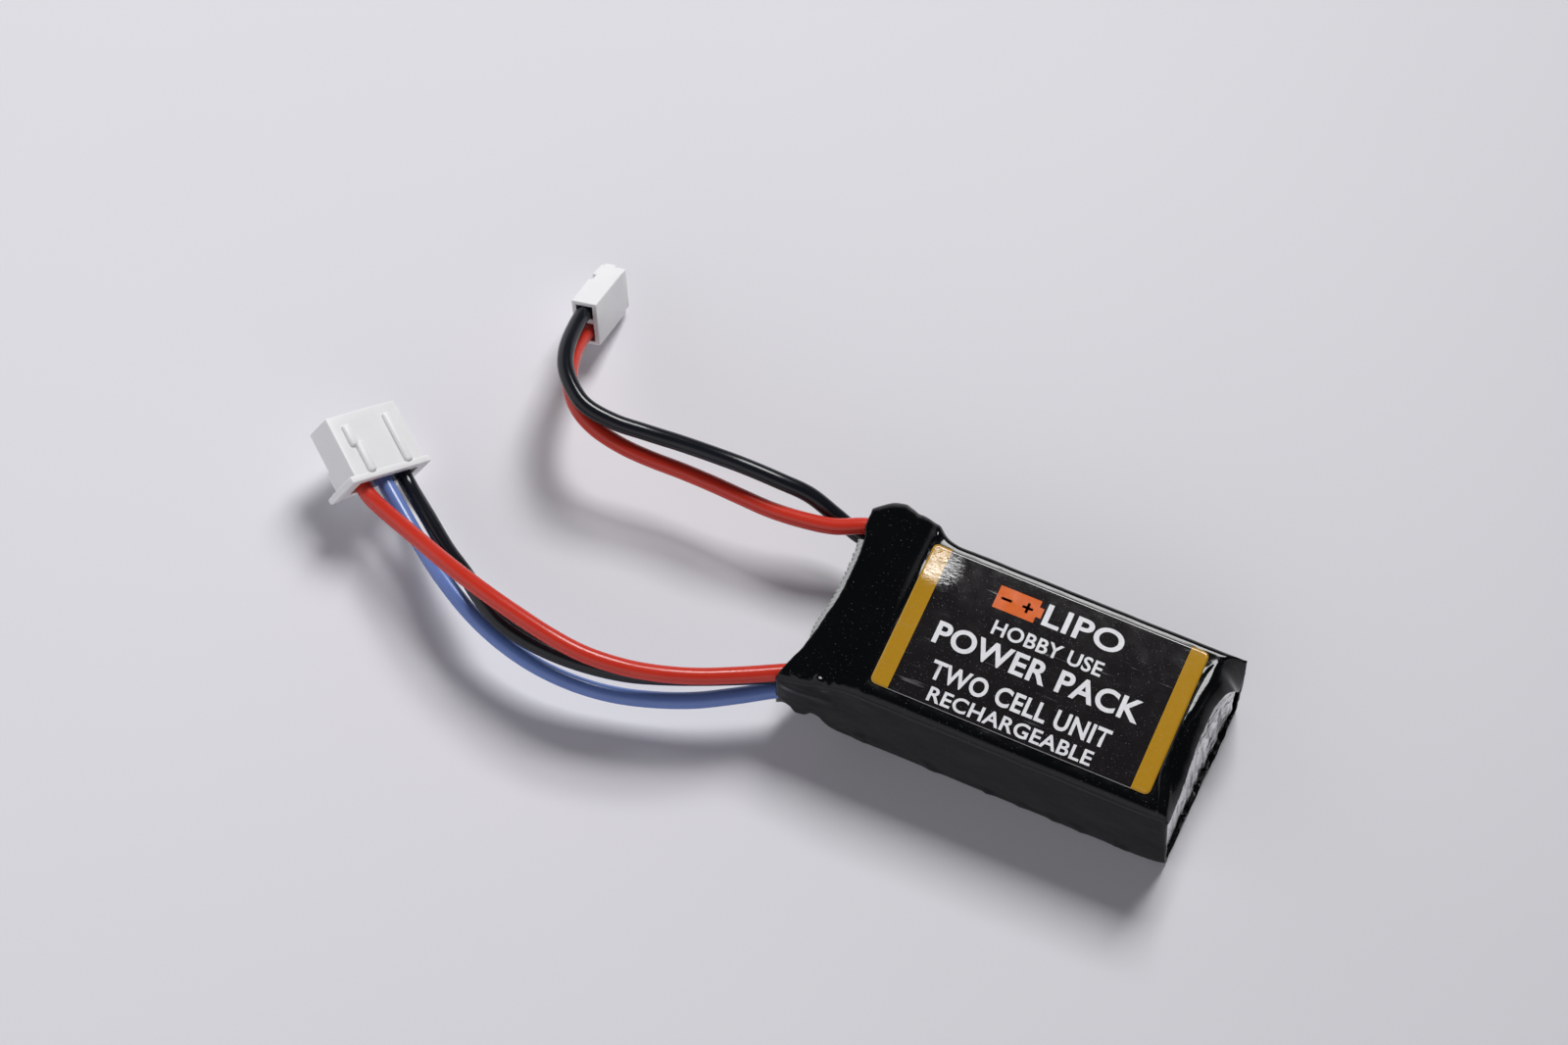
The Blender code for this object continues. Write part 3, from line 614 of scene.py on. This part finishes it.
def sleeve_section(x):
    """Points (y, z) and outward normals of the film's outline at x, anticlockwise seen from +X."""
    near, far, bottom, top, near_upper, far_upper, lower = SLEEVE_AT(x)
    # Centre, first angle, radius, and the steps of the flat side that follows
    corners = [
        (far - lower, bottom + lower, -90.0, lower, 34),
        (far - far_upper, top - far_upper, 0.0, far_upper, 84),
        (near + near_upper, top - near_upper, 90.0, near_upper, 34),
        (near + lower, bottom + lower, 180.0, lower, 60),
    ]
    outline = []
    for index, (cy, cz, angle, radius, steps) in enumerate(corners):
        for turn in range(CORNER_STEPS + 1):
            a = math.radians(angle + 90.0 * turn / CORNER_STEPS)
            normal = (math.cos(a), math.sin(a))
            outline.append((cy + radius * normal[0], cz + radius * normal[1], *normal))
        next_y, next_z, next_angle, next_radius, _ = corners[(index + 1) % 4]
        a = math.radians(next_angle)
        end = (next_y + next_radius * math.cos(a), next_z + next_radius * math.sin(a))
        start = outline[-1]
        for step in range(1, steps):
            t = step / steps
            outline.append((start[0] + (end[0] - start[0]) * t, start[1] + (end[1] - start[1]) * t,
                            math.cos(a), math.sin(a)))
    return outline, bottom, top


def fold_ends(y):
    """Where the folded end of the top film turns down, how far in x it reaches, and how far it drops."""
    lip_x, lip_z = LIP(y)
    turn_x = min(CREASE(y)[0], lip_x - FOLD_LEAST)
    return turn_x, lip_x - turn_x, BODY_TOP - lip_z


def fold_path(y, t):
    """Place (x, z below the top) on the folded end of the top film, t being the share of its length."""
    turn_x, reach, drop = fold_ends(y)
    shares = np.linspace(0.0, 1.0, 25)
    along = np.concatenate([[FOLD_START], turn_x + reach * shares])
    below = np.concatenate([[0.0], drop * shares ** FOLD_POWER])
    length = np.concatenate([[0.0], np.cumsum(np.hypot(np.diff(along), np.diff(below)))])
    return np.interp(t * length[-1], length, along), np.interp(t * length[-1], length, below)


def film_over(x, y):
    """Height of the top film at a place on its folded end."""
    turn_x, reach, drop = fold_ends(y)
    share = clamp((x - turn_x) / reach, 0.0, 1.0)
    return BODY_TOP - drop * share ** FOLD_POWER


def sleeve_point(x, y, z, ny, nz, bottom, top):
    """A point of the film, moved from its plain section to where it really lies.

    Small folds and waves push it out, the mouth's cut moves the head's rings, and past FOLD_START
    each side runs to its own end.
    """
    share = smoothstep(0.55, 1.0, (z - bottom) / (top - bottom))
    lift = fold_height(x, y, z) + 0.05 * wander(x, y, z, 0.28, 3.0) + 0.014 * wander(x, y, z, 1.1, 7.0)
    if z < 1.0:
        lift = max(lift, 0.0) * (1.0 if abs(ny) > 0.3 else 0.0)
    cut = smoothstep(CUT_START, MOUTH_X, x) * (MOUTH(y)[0] + 0.06 * wander(0.0, y, z, 1.4, 11.0))
    place = x + cut
    rise = SLEEVE_AT(place)[3] - top if x < HEAD_X else 0.0
    height = z + nz * lift + share * (top_relief(x, y) + rise)
    if x > FOLD_START:
        t = (x - FOLD_START) / (OPEN_X - FOLD_START)
        side_end = NEAR_END(z)[0] if y < 0 else FAR_END(z)[0]
        floor_end = BOTTOM_END(y)[0]
        wall = smoothstep(0.2, 0.9, abs(ny))
        plain_end = floor_end + (side_end - floor_end) * wall + 0.07 * wander(0.0, y, z, 1.3, 17.0)
        plain = FOLD_START + (plain_end - FOLD_START) * t
        top_share = smoothstep(0.15, 0.85, nz)
        fold_x, fold_drop = fold_path(y, t)
        ragged = 0.05 * wander(0.0, y, 2.0, 1.6, 23.0) * smoothstep(0.7, 1.0, t)
        place = plain + (fold_x + ragged - plain) * top_share
        height -= fold_drop * top_share
        if nz < -0.5:
            peak = max(max(0.0, 1.0 - abs(y - spot) / wide) * tall
                       for spot, wide, tall in BOTTOM_TONGUES)
            height += peak * smoothstep(0.82, 1.0, t)
    return place, y + ny * lift, max(height, 0.0)


def add_sleeve(material):
    """Shrink film, its rings close together at both ends of the pack."""
    points = []
    spans = ((MOUTH_X, -9.0, 0.16), (-9.0, 15.0, 0.5), (15.0, 20.85, 0.12))
    stations = [x for start, end, spacing in spans for x in np.arange(start, end, spacing)]
    for x in stations:
        outline, bottom, top = sleeve_section(x)
        for y, z, ny, nz in outline:
            points.append(sleeve_point(x, y, z, ny, nz, bottom, top))
    faces = strip_faces(len(stations), len(outline))
    sleeve = add_mesh("shrink_film", points, faces, material)
    thicken(sleeve, "film", FILM, -1.0)
    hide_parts("heat_shrink_sleeve")


# --- label

def label_height(x, y):
    """Height of the underside of the label."""
    return BODY_TOP + top_relief(x, y) + LABEL_GLUE


def add_label(material):
    """Label sheet draped on the film, with rounded corners. Returns its corners in millimetres."""
    low, high = (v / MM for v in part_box("label"))
    columns, rows = 116, 66
    points = []
    for j in range(rows + 1):
        for i in range(columns + 1):
            x = low.x + (high.x - low.x) * i / columns
            y = low.y + (high.y - low.y) * j / rows
            cx = clamp(x, low.x + LABEL_CORNER, high.x - LABEL_CORNER)
            cy = clamp(y, low.y + LABEL_CORNER, high.y - LABEL_CORNER)
            off = Vector((x - cx, y - cy))
            if off.x and off.y:
                reach = max(abs(off.x), abs(off.y))
                off *= reach / off.length
            x, y = cx + off.x, cy + off.y
            points.append((x, y, label_height(x, y)))
    faces = strip_faces(rows + 1, columns + 1, closed=False)
    label = add_mesh("label_sheet", points, faces, material)
    thicken(label, "thickness", LABEL_SHEET, 1.0)
    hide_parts("label")
    return low, high


def text_shape(words, width, height, weight):
    """Points and faces of the words, centred on the origin and fitted to that width and height."""
    curve = bpy.data.curves.new("words", "FONT")
    curve.body = words
    curve.offset = weight
    curve.space_character = 1.05
    curve.resolution_u = 6
    holder = put("words", curve)
    mesh = bpy.data.meshes.new_from_object(holder.evaluated_get(bpy.context.evaluated_depsgraph_get()))
    flat = np.array([(v.co.x, v.co.y) for v in mesh.vertices])
    low, high = flat.min(0), flat.max(0)
    flat = (flat - (low + high) / 2) / (high - low) * (width, height)
    faces = [tuple(p.vertices) for p in mesh.polygons]
    bpy.data.objects.remove(holder)
    bpy.data.curves.remove(curve)
    bpy.data.meshes.remove(mesh)
    return [tuple(p) for p in flat], faces


def add_print(name, shapes, material):
    """One print piece on the label, from (points, faces) shapes that are each placed by their centre."""
    points, faces = [], []
    for (cx, cy), (shape_points, shape_faces) in shapes:
        base = len(points)
        points += [(x + cx, y + cy) for x, y in shape_points]
        faces += [tuple(base + i for i in face) for face in shape_faces]
    points = [(x, y, label_height(x, y) + LABEL_SHEET + LABEL_PRINT) for x, y in points]
    add_mesh(name, points, faces, material)


def block_shape(width, height):
    """Points and faces of a rectangle around the origin."""
    return [(sx * width / 2, sy * height / 2) for sx, sy in SQUARE], [(0, 1, 2, 3)]


def add_label_print(low, high, ink, orange):
    """Generic battery sign and words, in rows along the pack, on the label between low and high."""
    cx, cy = (low.x + high.x) / 2, (low.y + high.y) / 2
    sign_x, sign_y = cx - 4.6, cy + 5.3
    # Blocks of the sign: place from its centre, width, height. First the case and its stud, then - and +.
    for name, material, blocks in (
            ("label_battery_sign", orange, [(0.0, 0.0, 4.3, 2.5), (2.4, 0.0, 0.5, 1.1)]),
            ("label_battery_poles", ink, [(-1.1, 0.0, 1.1, 0.28), (1.1, 0.0, 1.1, 0.28),
                                          (1.1, 0.35, 0.28, 0.42), (1.1, -0.35, 0.28, 0.42)])):
        add_print(name, [((sign_x + dx, sign_y + dy), block_shape(width, height))
                         for dx, dy, width, height in blocks], material)
    # Words: place from the label's centre, width, height, and how much their strokes are thickened
    rows = [
        ("label_words_kind", "LIPO", 2.4, 5.4, 8.2, 2.45, 0.02),
        ("label_words_use", "HOBBY USE", -0.1, 2.15, 11.4, 1.6, 0.02),
        ("label_words_pack", "POWER PACK", 0.0, -0.55, 21.4, 2.5, 0.025),
        ("label_words_cells", "TWO CELL UNIT", -0.3, -4.35, 18.5, 2.1, 0.025),
        ("label_words_charge", "RECHARGEABLE", -0.3, -6.85, 16.9, 1.6, 0.02),
    ]
    for name, words, dx, dy, width, height, weight in rows:
        add_print(name, [((cx + dx, cy + dy), text_shape(words, width, height, weight))], ink)


# --- cells

# Height where the two cells meet at the open end, and half the gap between them
PARTING = 5.75
PARTING_GAP = 0.02
# Between these rings the pillow body takes on the shape of the foil end
FOIL_START, FOIL_END = 16.5, 20.0
# How far the foil stays under the folded film, and how much more under the fold's low tip
FOIL_CLEARANCE, TIP_CLEARANCE = 0.35, 0.75
# How far its face lies behind the film's end, at the bottom and at the lip
FOIL_BACK_LOW, FOIL_BACK_LIP = 0.55, 0.30
# Slanting creases in the foil ends: place across, half width, depth
FOIL_CREASES = [
    (-7.0, 0.16, 0.10), (-5.2, 0.10, 0.08), (-3.4, 0.12, 0.14), (-2.2, 0.09, 0.10), (-1.0, 0.16, 0.26),
    (-0.1, 0.10, 0.16), (0.9, 0.17, 0.30), (1.9, 0.12, 0.22), (2.8, 0.18, 0.32), (3.9, 0.14, 0.28),
    (5.0, 0.18, 0.25)]


def foil_face(y, z):
    """Where the foil ends of the cells lie behind the film's lip, with their slanting folds."""
    lip_x, lip_z = LIP(min(y, 7.4))
    lower = BOTTOM_END(y)[0] - FOIL_BACK_LOW
    t = clamp((z - 0.5) / (lip_z - 0.5), 0.0, 1.4)
    place = lower + (lip_x - FOIL_BACK_LIP - lower) * t
    slant = y - 0.18 * z
    deep = smoothstep(-2.0, 3.5, y)
    place += (0.05 + 0.16 * deep) * wander(0.0, slant, 0.3 * z, 0.95, 41.0)
    place += (0.02 + 0.06 * deep) * wander(0.0, 1.4 * slant, 0.4 * z, 1.6, 43.0)
    for line, width, depth in FOIL_CREASES:
        place -= depth * bell(slant + 0.12 * wander(0.0, y, z, 1.1, line), line, width)
    # The seam between the two cells
    return place - 0.04 * bell(z, PARTING, 0.2)


def add_cell(name, node, material, seed):
    """Pouch cell: pillow body with a crinkled end that shows through the open end of the sleeve."""
    low, high = (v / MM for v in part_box(node))
    count = 160
    squareness = 8
    rings = []
    for x in (*np.linspace(low.x + 2.2, FOIL_START, 14), *np.linspace(FOIL_START + 0.3, FOIL_END, 12)):
        # The head end tapers
        start = 1.0 - smoothstep(low.x + 2.0, low.x + 3.6, x)
        y0, y1 = low.y + 0.5 * start, high.y - 0.5 * start
        z0, z1 = low.z + 1.2 * start, high.z - 1.6 * start
        to_end = smoothstep(FOIL_START, FOIL_END, x)
        middle = (z0 + z1) / 2
        inner = z1 if middle < PARTING else z0
        parting = PARTING + math.copysign(PARTING_GAP, middle - PARTING)
        ring = []
        for k in range(count):
            a = math.tau * (k + 0.5) / count
            c, s = math.cos(a), math.sin(a)
            scale = (abs(c) ** squareness + abs(s) ** squareness) ** (-1 / squareness)
            y = (y0 + y1) / 2 + (y1 - y0) / 2 * c * scale
            z = middle + (z1 - z0) / 2 * s * scale
            crease = wander(x * 0.7, y + 0.6 * z, z, 1.5, seed) * to_end
            if (z - middle) * (PARTING - middle) > 0:
                # The side towards the other cell moves to the parting
                z += (middle + (z - middle) * (parting - middle) / (inner - middle) - z) * to_end
            reach = x
            if x > FOIL_START:
                share = (x - FOIL_START) / (FOIL_END - FOIL_START)
                reach = FOIL_START + (foil_face(y, z) - 0.12 - FOIL_START) * share
            y = min(y, high.y - 0.6 * to_end)
            clearance = FOIL_CLEARANCE + TIP_CLEARANCE * smoothstep(5.5, 7.5, y)
            z = min(z, film_over(reach, min(y, 8.2)) - clearance)
            ring.append((reach, y + 0.04 * crease * c, z + 0.05 * crease * s))
        rings.append(ring)
    # The end face: rings that shrink to its centre, more slowly across than in height
    last = rings[-1]
    cy = sum(p[1] for p in last) / count
    cz = sum(p[2] for p in last) / count
    for share in (0.97, 0.93, 0.88, 0.82, 0.75, 0.67, 0.58, 0.48, 0.36, 0.22, 0.08):
        across = 0.80 + 0.20 * share if share > 0.5 else 0.9 * share / 0.5
        face = [(cy + (y - cy) * across, cz + (z - cz) * share) for _, y, z in last]
        rings.append([(foil_face(y, z), y, z) for y, z in face])
    points = [p for ring in rings for p in ring]
    faces = strip_faces(len(rings), count)
    faces.append(tuple(range(len(points) - count, len(points))))
    faces.append(tuple(reversed(range(count))))
    cell = add_mesh(name, points, faces, material, 60.0)
    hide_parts(node)


# --- end strip

STRIP_THICKNESS = 0.15
STRIP_BEND = 0.45
RIB_HEIGHT, RIB_PITCH = 0.11, 0.55


def add_end_strip(material):
    """Pale insulating strip along the mouth: a ribbed sheet bent over under the film."""
    low, high = (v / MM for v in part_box("end_insulation_strip"))
    columns, rows = 190, 14
    bend_row = 8
    points = []
    for j in range(rows + 1):
        upright = min(j / bend_row, 1.0)
        bend = max(0.0, (j - bend_row) / (rows - bend_row))
        for i in range(columns + 1):
            y = low.y + (high.y - low.y) * i / columns
            edge = MOUTH_X + MOUTH(y)[0]
            out = 0.50 * smoothstep(low.y - 0.4, low.y + 2.0, y)
            crown = SLEEVE_AT(edge)[3] - 0.32
            x = edge - out + (0.4 + out) * bend + 0.10 * wander(0.0, y, 0.0, 1.6, 31.0) * (1.0 - bend)
            z = low.z + 1.0 + (crown - STRIP_BEND - low.z - 1.0) * upright
            z += STRIP_BEND * math.sin(bend * math.pi / 2)
            rib = RIB_HEIGHT * math.sin(math.tau * (y - 0.7 * (x - edge)) / RIB_PITCH)
            points.append((x - rib * (1.0 - bend), y, z + rib * bend))
    faces = strip_faces(rows + 1, columns + 1, closed=False)
    strip = add_mesh("ribbed_end_strip", points, faces, material)
    thicken(strip, "thickness", STRIP_THICKNESS, 0.0)
    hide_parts("end_insulation_strip")


# --- plugs

def box_mesh(low, high, edge):
    """bmesh box with rounded edges, in millimetres."""
    shape = bmesh.new()
    bmesh.ops.create_cube(shape, size=1.0)
    size = [b - a for a, b in zip(low, high)]
    centre = [(a + b) / 2 for a, b in zip(low, high)]
    for v in shape.verts:
        v.co = Vector([c + s * p for c, s, p in zip(centre, size, v.co)])
    if edge > 0:
        bmesh.ops.bevel(shape, geom=shape.edges[:], offset=edge, segments=3, profile=0.5, affect="EDGES")
    return shape


def add_housing(name, place, solids, cuts, material, node):
    """Moulded housing: rounded boxes joined, then boxes cut out. Each is (low, high, edge)."""
    pieces = []
    for index, (low, high, edge) in enumerate(solids + cuts):
        shape = box_mesh(low, high, edge)
        mesh = bpy.data.meshes.new(f"{name}_{index}")
        shape.to_mesh(mesh)
        shape.free()
        pieces.append(put(mesh.name, mesh))
    body = pieces[0]
    for index, thing in enumerate(pieces[1:], 1):
        boolean = body.modifiers.new("tool", "BOOLEAN")
        boolean.operation = "UNION" if index < len(solids) else "DIFFERENCE"
        boolean.object = thing
    made = bpy.data.meshes.new_from_object(body.evaluated_get(bpy.context.evaluated_depsgraph_get()))
    for thing in pieces:
        bpy.data.objects.remove(thing)
    made.transform(Matrix.Scale(MM, 4) @ place)
    made.shade_smooth()
    made.set_sharp_from_angle(angle=math.radians(28))
    housing = add_piece(name, made, material)
    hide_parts(node)
    return housing


def balance_housing(material):
    """Three-way housing: body, flange with two ears, three ribs on top and two rails below."""
    length, half_width, half_height = 7.4, 4.45, 1.8
    solids = [
        ((0.0, -half_width, -half_height), (length, half_width, half_height), 0.18),
        ((0.0, -5.1, -2.3), (0.8, 5.1, 1.9), 0.2),
        ((0.05, -5.1, -3.2), (0.75, -3.9, -1.6), 0.25),
        ((0.05, 3.9, -3.2), (0.75, 5.1, -1.6), 0.25),
        ((0.6, -3.05, 1.0), (length - 1.1, -2.0, 2.25), 0.40),
        ((3.7, 2.15, 1.0), (length - 1.2, 3.25, 2.25), 0.40),
        ((0.6, 1.6, 1.0), (4.2, 2.7, 2.25), 0.40),
        ((0.5, -4.45, -2.2), (3.0, -3.9, -1.2), 0.15),
        ((0.5, 3.9, -2.2), (3.0, 4.45, -1.2), 0.15),
    ]
    # The wire entry, then each wire's chamber, socket, lead-in and latch window
    cuts = [((-0.5, -3.75, -1.2), (0.5, 3.75, 1.2), 0.0)]
    for y in (-BALANCE_PITCH, 0.0, BALANCE_PITCH):
        cuts.append(((-0.5, y - 1.04, -1.12), (2.6, y + 1.04, 1.12), 0.0))
        cuts.append(((2.0, y - 0.72, -0.72), (length + 0.5, y + 0.72, 0.72), 0.0))
        cuts.append(((length - 0.3, y - 0.95, -0.95), (length + 0.5, y + 0.95, 0.95), 0.0))
        cuts.append(((3.4, y - 0.62, -half_height - 0.5), (5.2, y + 0.62, -0.4), 0.0))
    return add_housing("balance_plug_moulding", plug_matrix(*BALANCE_PLACE), solids, cuts,
                       material, "balance_plug_housing")


def discharge_housing(material):
    """Two-way housing: thin-walled entry, stepped nose, latch slots on its narrow face."""
    length, half_width, half_height = 7.3, 1.425, 2.55
    solids = [
        ((0.0, -half_width, -half_height), (length - 0.8, half_width, half_height), 0.16),
        ((length - 1.4, -half_width, -half_height + 0.35), (length, half_width, half_height - 0.1), 0.14),
        ((length - 0.8, -0.1, -half_height + 0.6),
         (length + 0.5, half_width - 0.25, half_height - 0.2), 0.14),
    ]
    # The wire entry, then each wire's chamber and socket, and last the two latch slots
    cuts = [((-0.5, -0.92, -2.12), (0.45, 0.92, 2.12), 0.0)]
    for z in (-DISCHARGE_PITCH / 2, DISCHARGE_PITCH / 2):
        cuts.append(((-0.5, -0.90, z - 0.92), (2.4, 0.90, z + 0.92), 0.0))
        cuts.append(((2.0, -0.7, z - 0.7), (length + 0.5, 0.7, z + 0.7), 0.0))
    cuts.append(((4.2, 0.95, half_height - 0.5), (5.2, half_width + 0.4, half_height + 0.5), 0.0))
    cuts.append(((3.0, -0.5, -half_height - 0.5), (4.6, 0.5, -half_height + 0.6), 0.0))
    return add_housing("discharge_plug_moulding", plug_matrix(*DISCHARGE_PLACE), solids, cuts,
                       material, "discharge_plug_housing")


# --- scene

def add_camera():
    """The photo's camera, with its frame 36 mm wide."""
    data = bpy.data.cameras.new("camera")
    data.lens = CAMERA_LENS
    data.sensor_width = 36.0
    data.clip_start = 0.01
    camera = put("camera", data)
    camera.location = Vector(CAMERA_PLACE) * MM
    camera.rotation_euler = (math.radians(CAMERA_TILT), 0.0, math.radians(CAMERA_TURN))
    bpy.context.scene.camera = camera


def add_key_light():
    """Square soft light that faces the frame's origin."""
    data = bpy.data.lights.new("key", "AREA")
    data.shape = "SQUARE"
    data.size = 2 * KEY_DISTANCE * math.tan(math.radians(KEY_ANGLE / 2)) * MM
    data.energy = KEY_POWER
    light = put("key", data)
    direction = Vector(KEY_FROM).normalized()
    light.location = direction * KEY_DISTANCE * MM
    light.rotation_euler = direction.to_track_quat("Z", "Y").to_euler()


def add_world():
    """Dim room: dark overhead and behind, paler low down in front and to the left."""
    world = bpy.data.worlds.new("room")
    bpy.context.scene.world = world
    world.use_nodes = True
    tree = world.node_tree
    x, y, z = split_place(tree, "Generated")
    height = math_nodes(tree, "MULTIPLY_ADD", y, ROOM_LEAN[1], z)
    height = math_nodes(tree, "MULTIPLY_ADD", x, ROOM_LEAN[0], height)
    share = spread_nodes(tree, height, *ROOM_FADE, 0.0, 1.0)
    feed(tree, tree.nodes["Background"].inputs["Color"], mix_nodes(tree, share, ROOM_PALE, ROOM_DARK))


def add_table():
    """Table top, a cool grey with painted light falloff: it darkens towards the far right."""
    mesh = bpy.data.meshes.new("table")
    mesh.from_pydata([(x * TABLE_HALF, y * TABLE_HALF, 0) for x, y in SQUARE], [], [(0, 1, 2, 3)])
    material, tree, shader = shader_nodes("table_top")
    x, y, _ = split_place(tree)
    # Painted light falloff: the tone fades from lit near left to dim far right, with a slow random mottle
    # on top
    slant = math_nodes(tree, "MULTIPLY_ADD", y, 0.96, x)
    along = spread_nodes(tree, slant, -0.17, 0.15, 0.0, 1.0)
    mottle_and_painted_falloff = math_nodes(tree, "MULTIPLY_ADD", noise_nodes(tree, 60.0, 2.0), 0.08, along)
    feed(tree, shader.inputs["Base Color"], mix_nodes(tree, mottle_and_painted_falloff, TABLE_PAINTED_LIT, TABLE_PAINTED_DIM))
    shader.inputs["Roughness"].default_value = 0.55
    shader.inputs["Specular IOR Level"].default_value = 0.25
    mesh.materials.append(material)
    table = put("table", mesh)


def main():
    bpy.context.scene.view_settings.view_transform = "Standard"
    add_camera()
    insulation = {colour: insulation_material(f"{colour}_insulation", *values)
                  for colour, values in INSULATION.items()}
    nylon = moulded_material("white_nylon", (0.77, 0.77, 0.78), (0.82, 0.82, 0.825), 0.42, sub=0.60)
    balance = balance_housing(nylon)
    discharge = discharge_housing(nylon)
    for lead, plug, housing, rows in (
            ("balance_wire", BALANCE_PLACE, balance,
             {"red": (BALANCE_PITCH, 0.0), "blue": (0.0, 0.0), "black": (-BALANCE_PITCH, 0.0)}),
            ("discharge_wire", DISCHARGE_PLACE, discharge,
             {"red": (0.0, -DISCHARGE_PITCH / 2), "black": (0.0, DISCHARGE_PITCH / 2)})):
        for colour, row in rows.items():
            add_lead(f"{lead}_{colour}", row, plug, insulation[colour])

    add_sleeve(film_material())
    low, high = add_label(label_material(*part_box("label")))
    white = ink_material("white_print", (0.66, 0.66, 0.69), (0.76, 0.76, 0.78))
    orange = ink_material("orange_print", (0.60, 0.105, 0.013), (0.68, 0.13, 0.018))
    add_label_print(low, high, white, orange)
    foil = foil_material()
    add_cell("upper_pouch", "upper_cell", foil, 21.0)
    add_cell("lower_pouch", "lower_cell", foil, 57.0)
    add_end_strip(paper_material("insulating_paper", (0.27, 0.28, 0.28), (0.48, 0.49, 0.49)))

    # Materials of the CAD pieces that keep their shape, by material slot
    kept = {name: make(name, *values) for name, make, *values in (
        ("bonding_tape", paper_material, (0.72, 0.71, 0.66), (0.86, 0.85, 0.80), 0.4),
        ("aluminium_tab", metal_material, (0.72, 0.72, 0.74), (0.86, 0.86, 0.88), 0.34, (0.1, 1, 1)),
        ("nickel_tab", metal_material, (0.60, 0.57, 0.52), (0.72, 0.69, 0.64), 0.30, (0.1, 1, 1)),
        ("tab_sealant", moulded_material, (0.62, 0.58, 0.44), (0.74, 0.70, 0.58), 0.45),
        ("board_laminate", moulded_material, (0.02, 0.12, 0.05), (0.04, 0.18, 0.08), 0.35, 0.3),
        ("solder", metal_material, (0.62, 0.62, 0.64), (0.78, 0.78, 0.80), 0.22),
        ("tinned_brass", metal_material, (0.66, 0.61, 0.50), (0.80, 0.76, 0.68), 0.26),
    )}
    slots = {s["node"]: s["material_slot"] for s in frame["record"]["subparts"]}
    for node, thing in NODES.items():
        if slots[node] in kept and not thing.hide_render:
            thing.data.materials.clear()
            thing.data.materials.append(kept[slots[node]])

    add_table()
    add_key_light()
    add_world()


main()
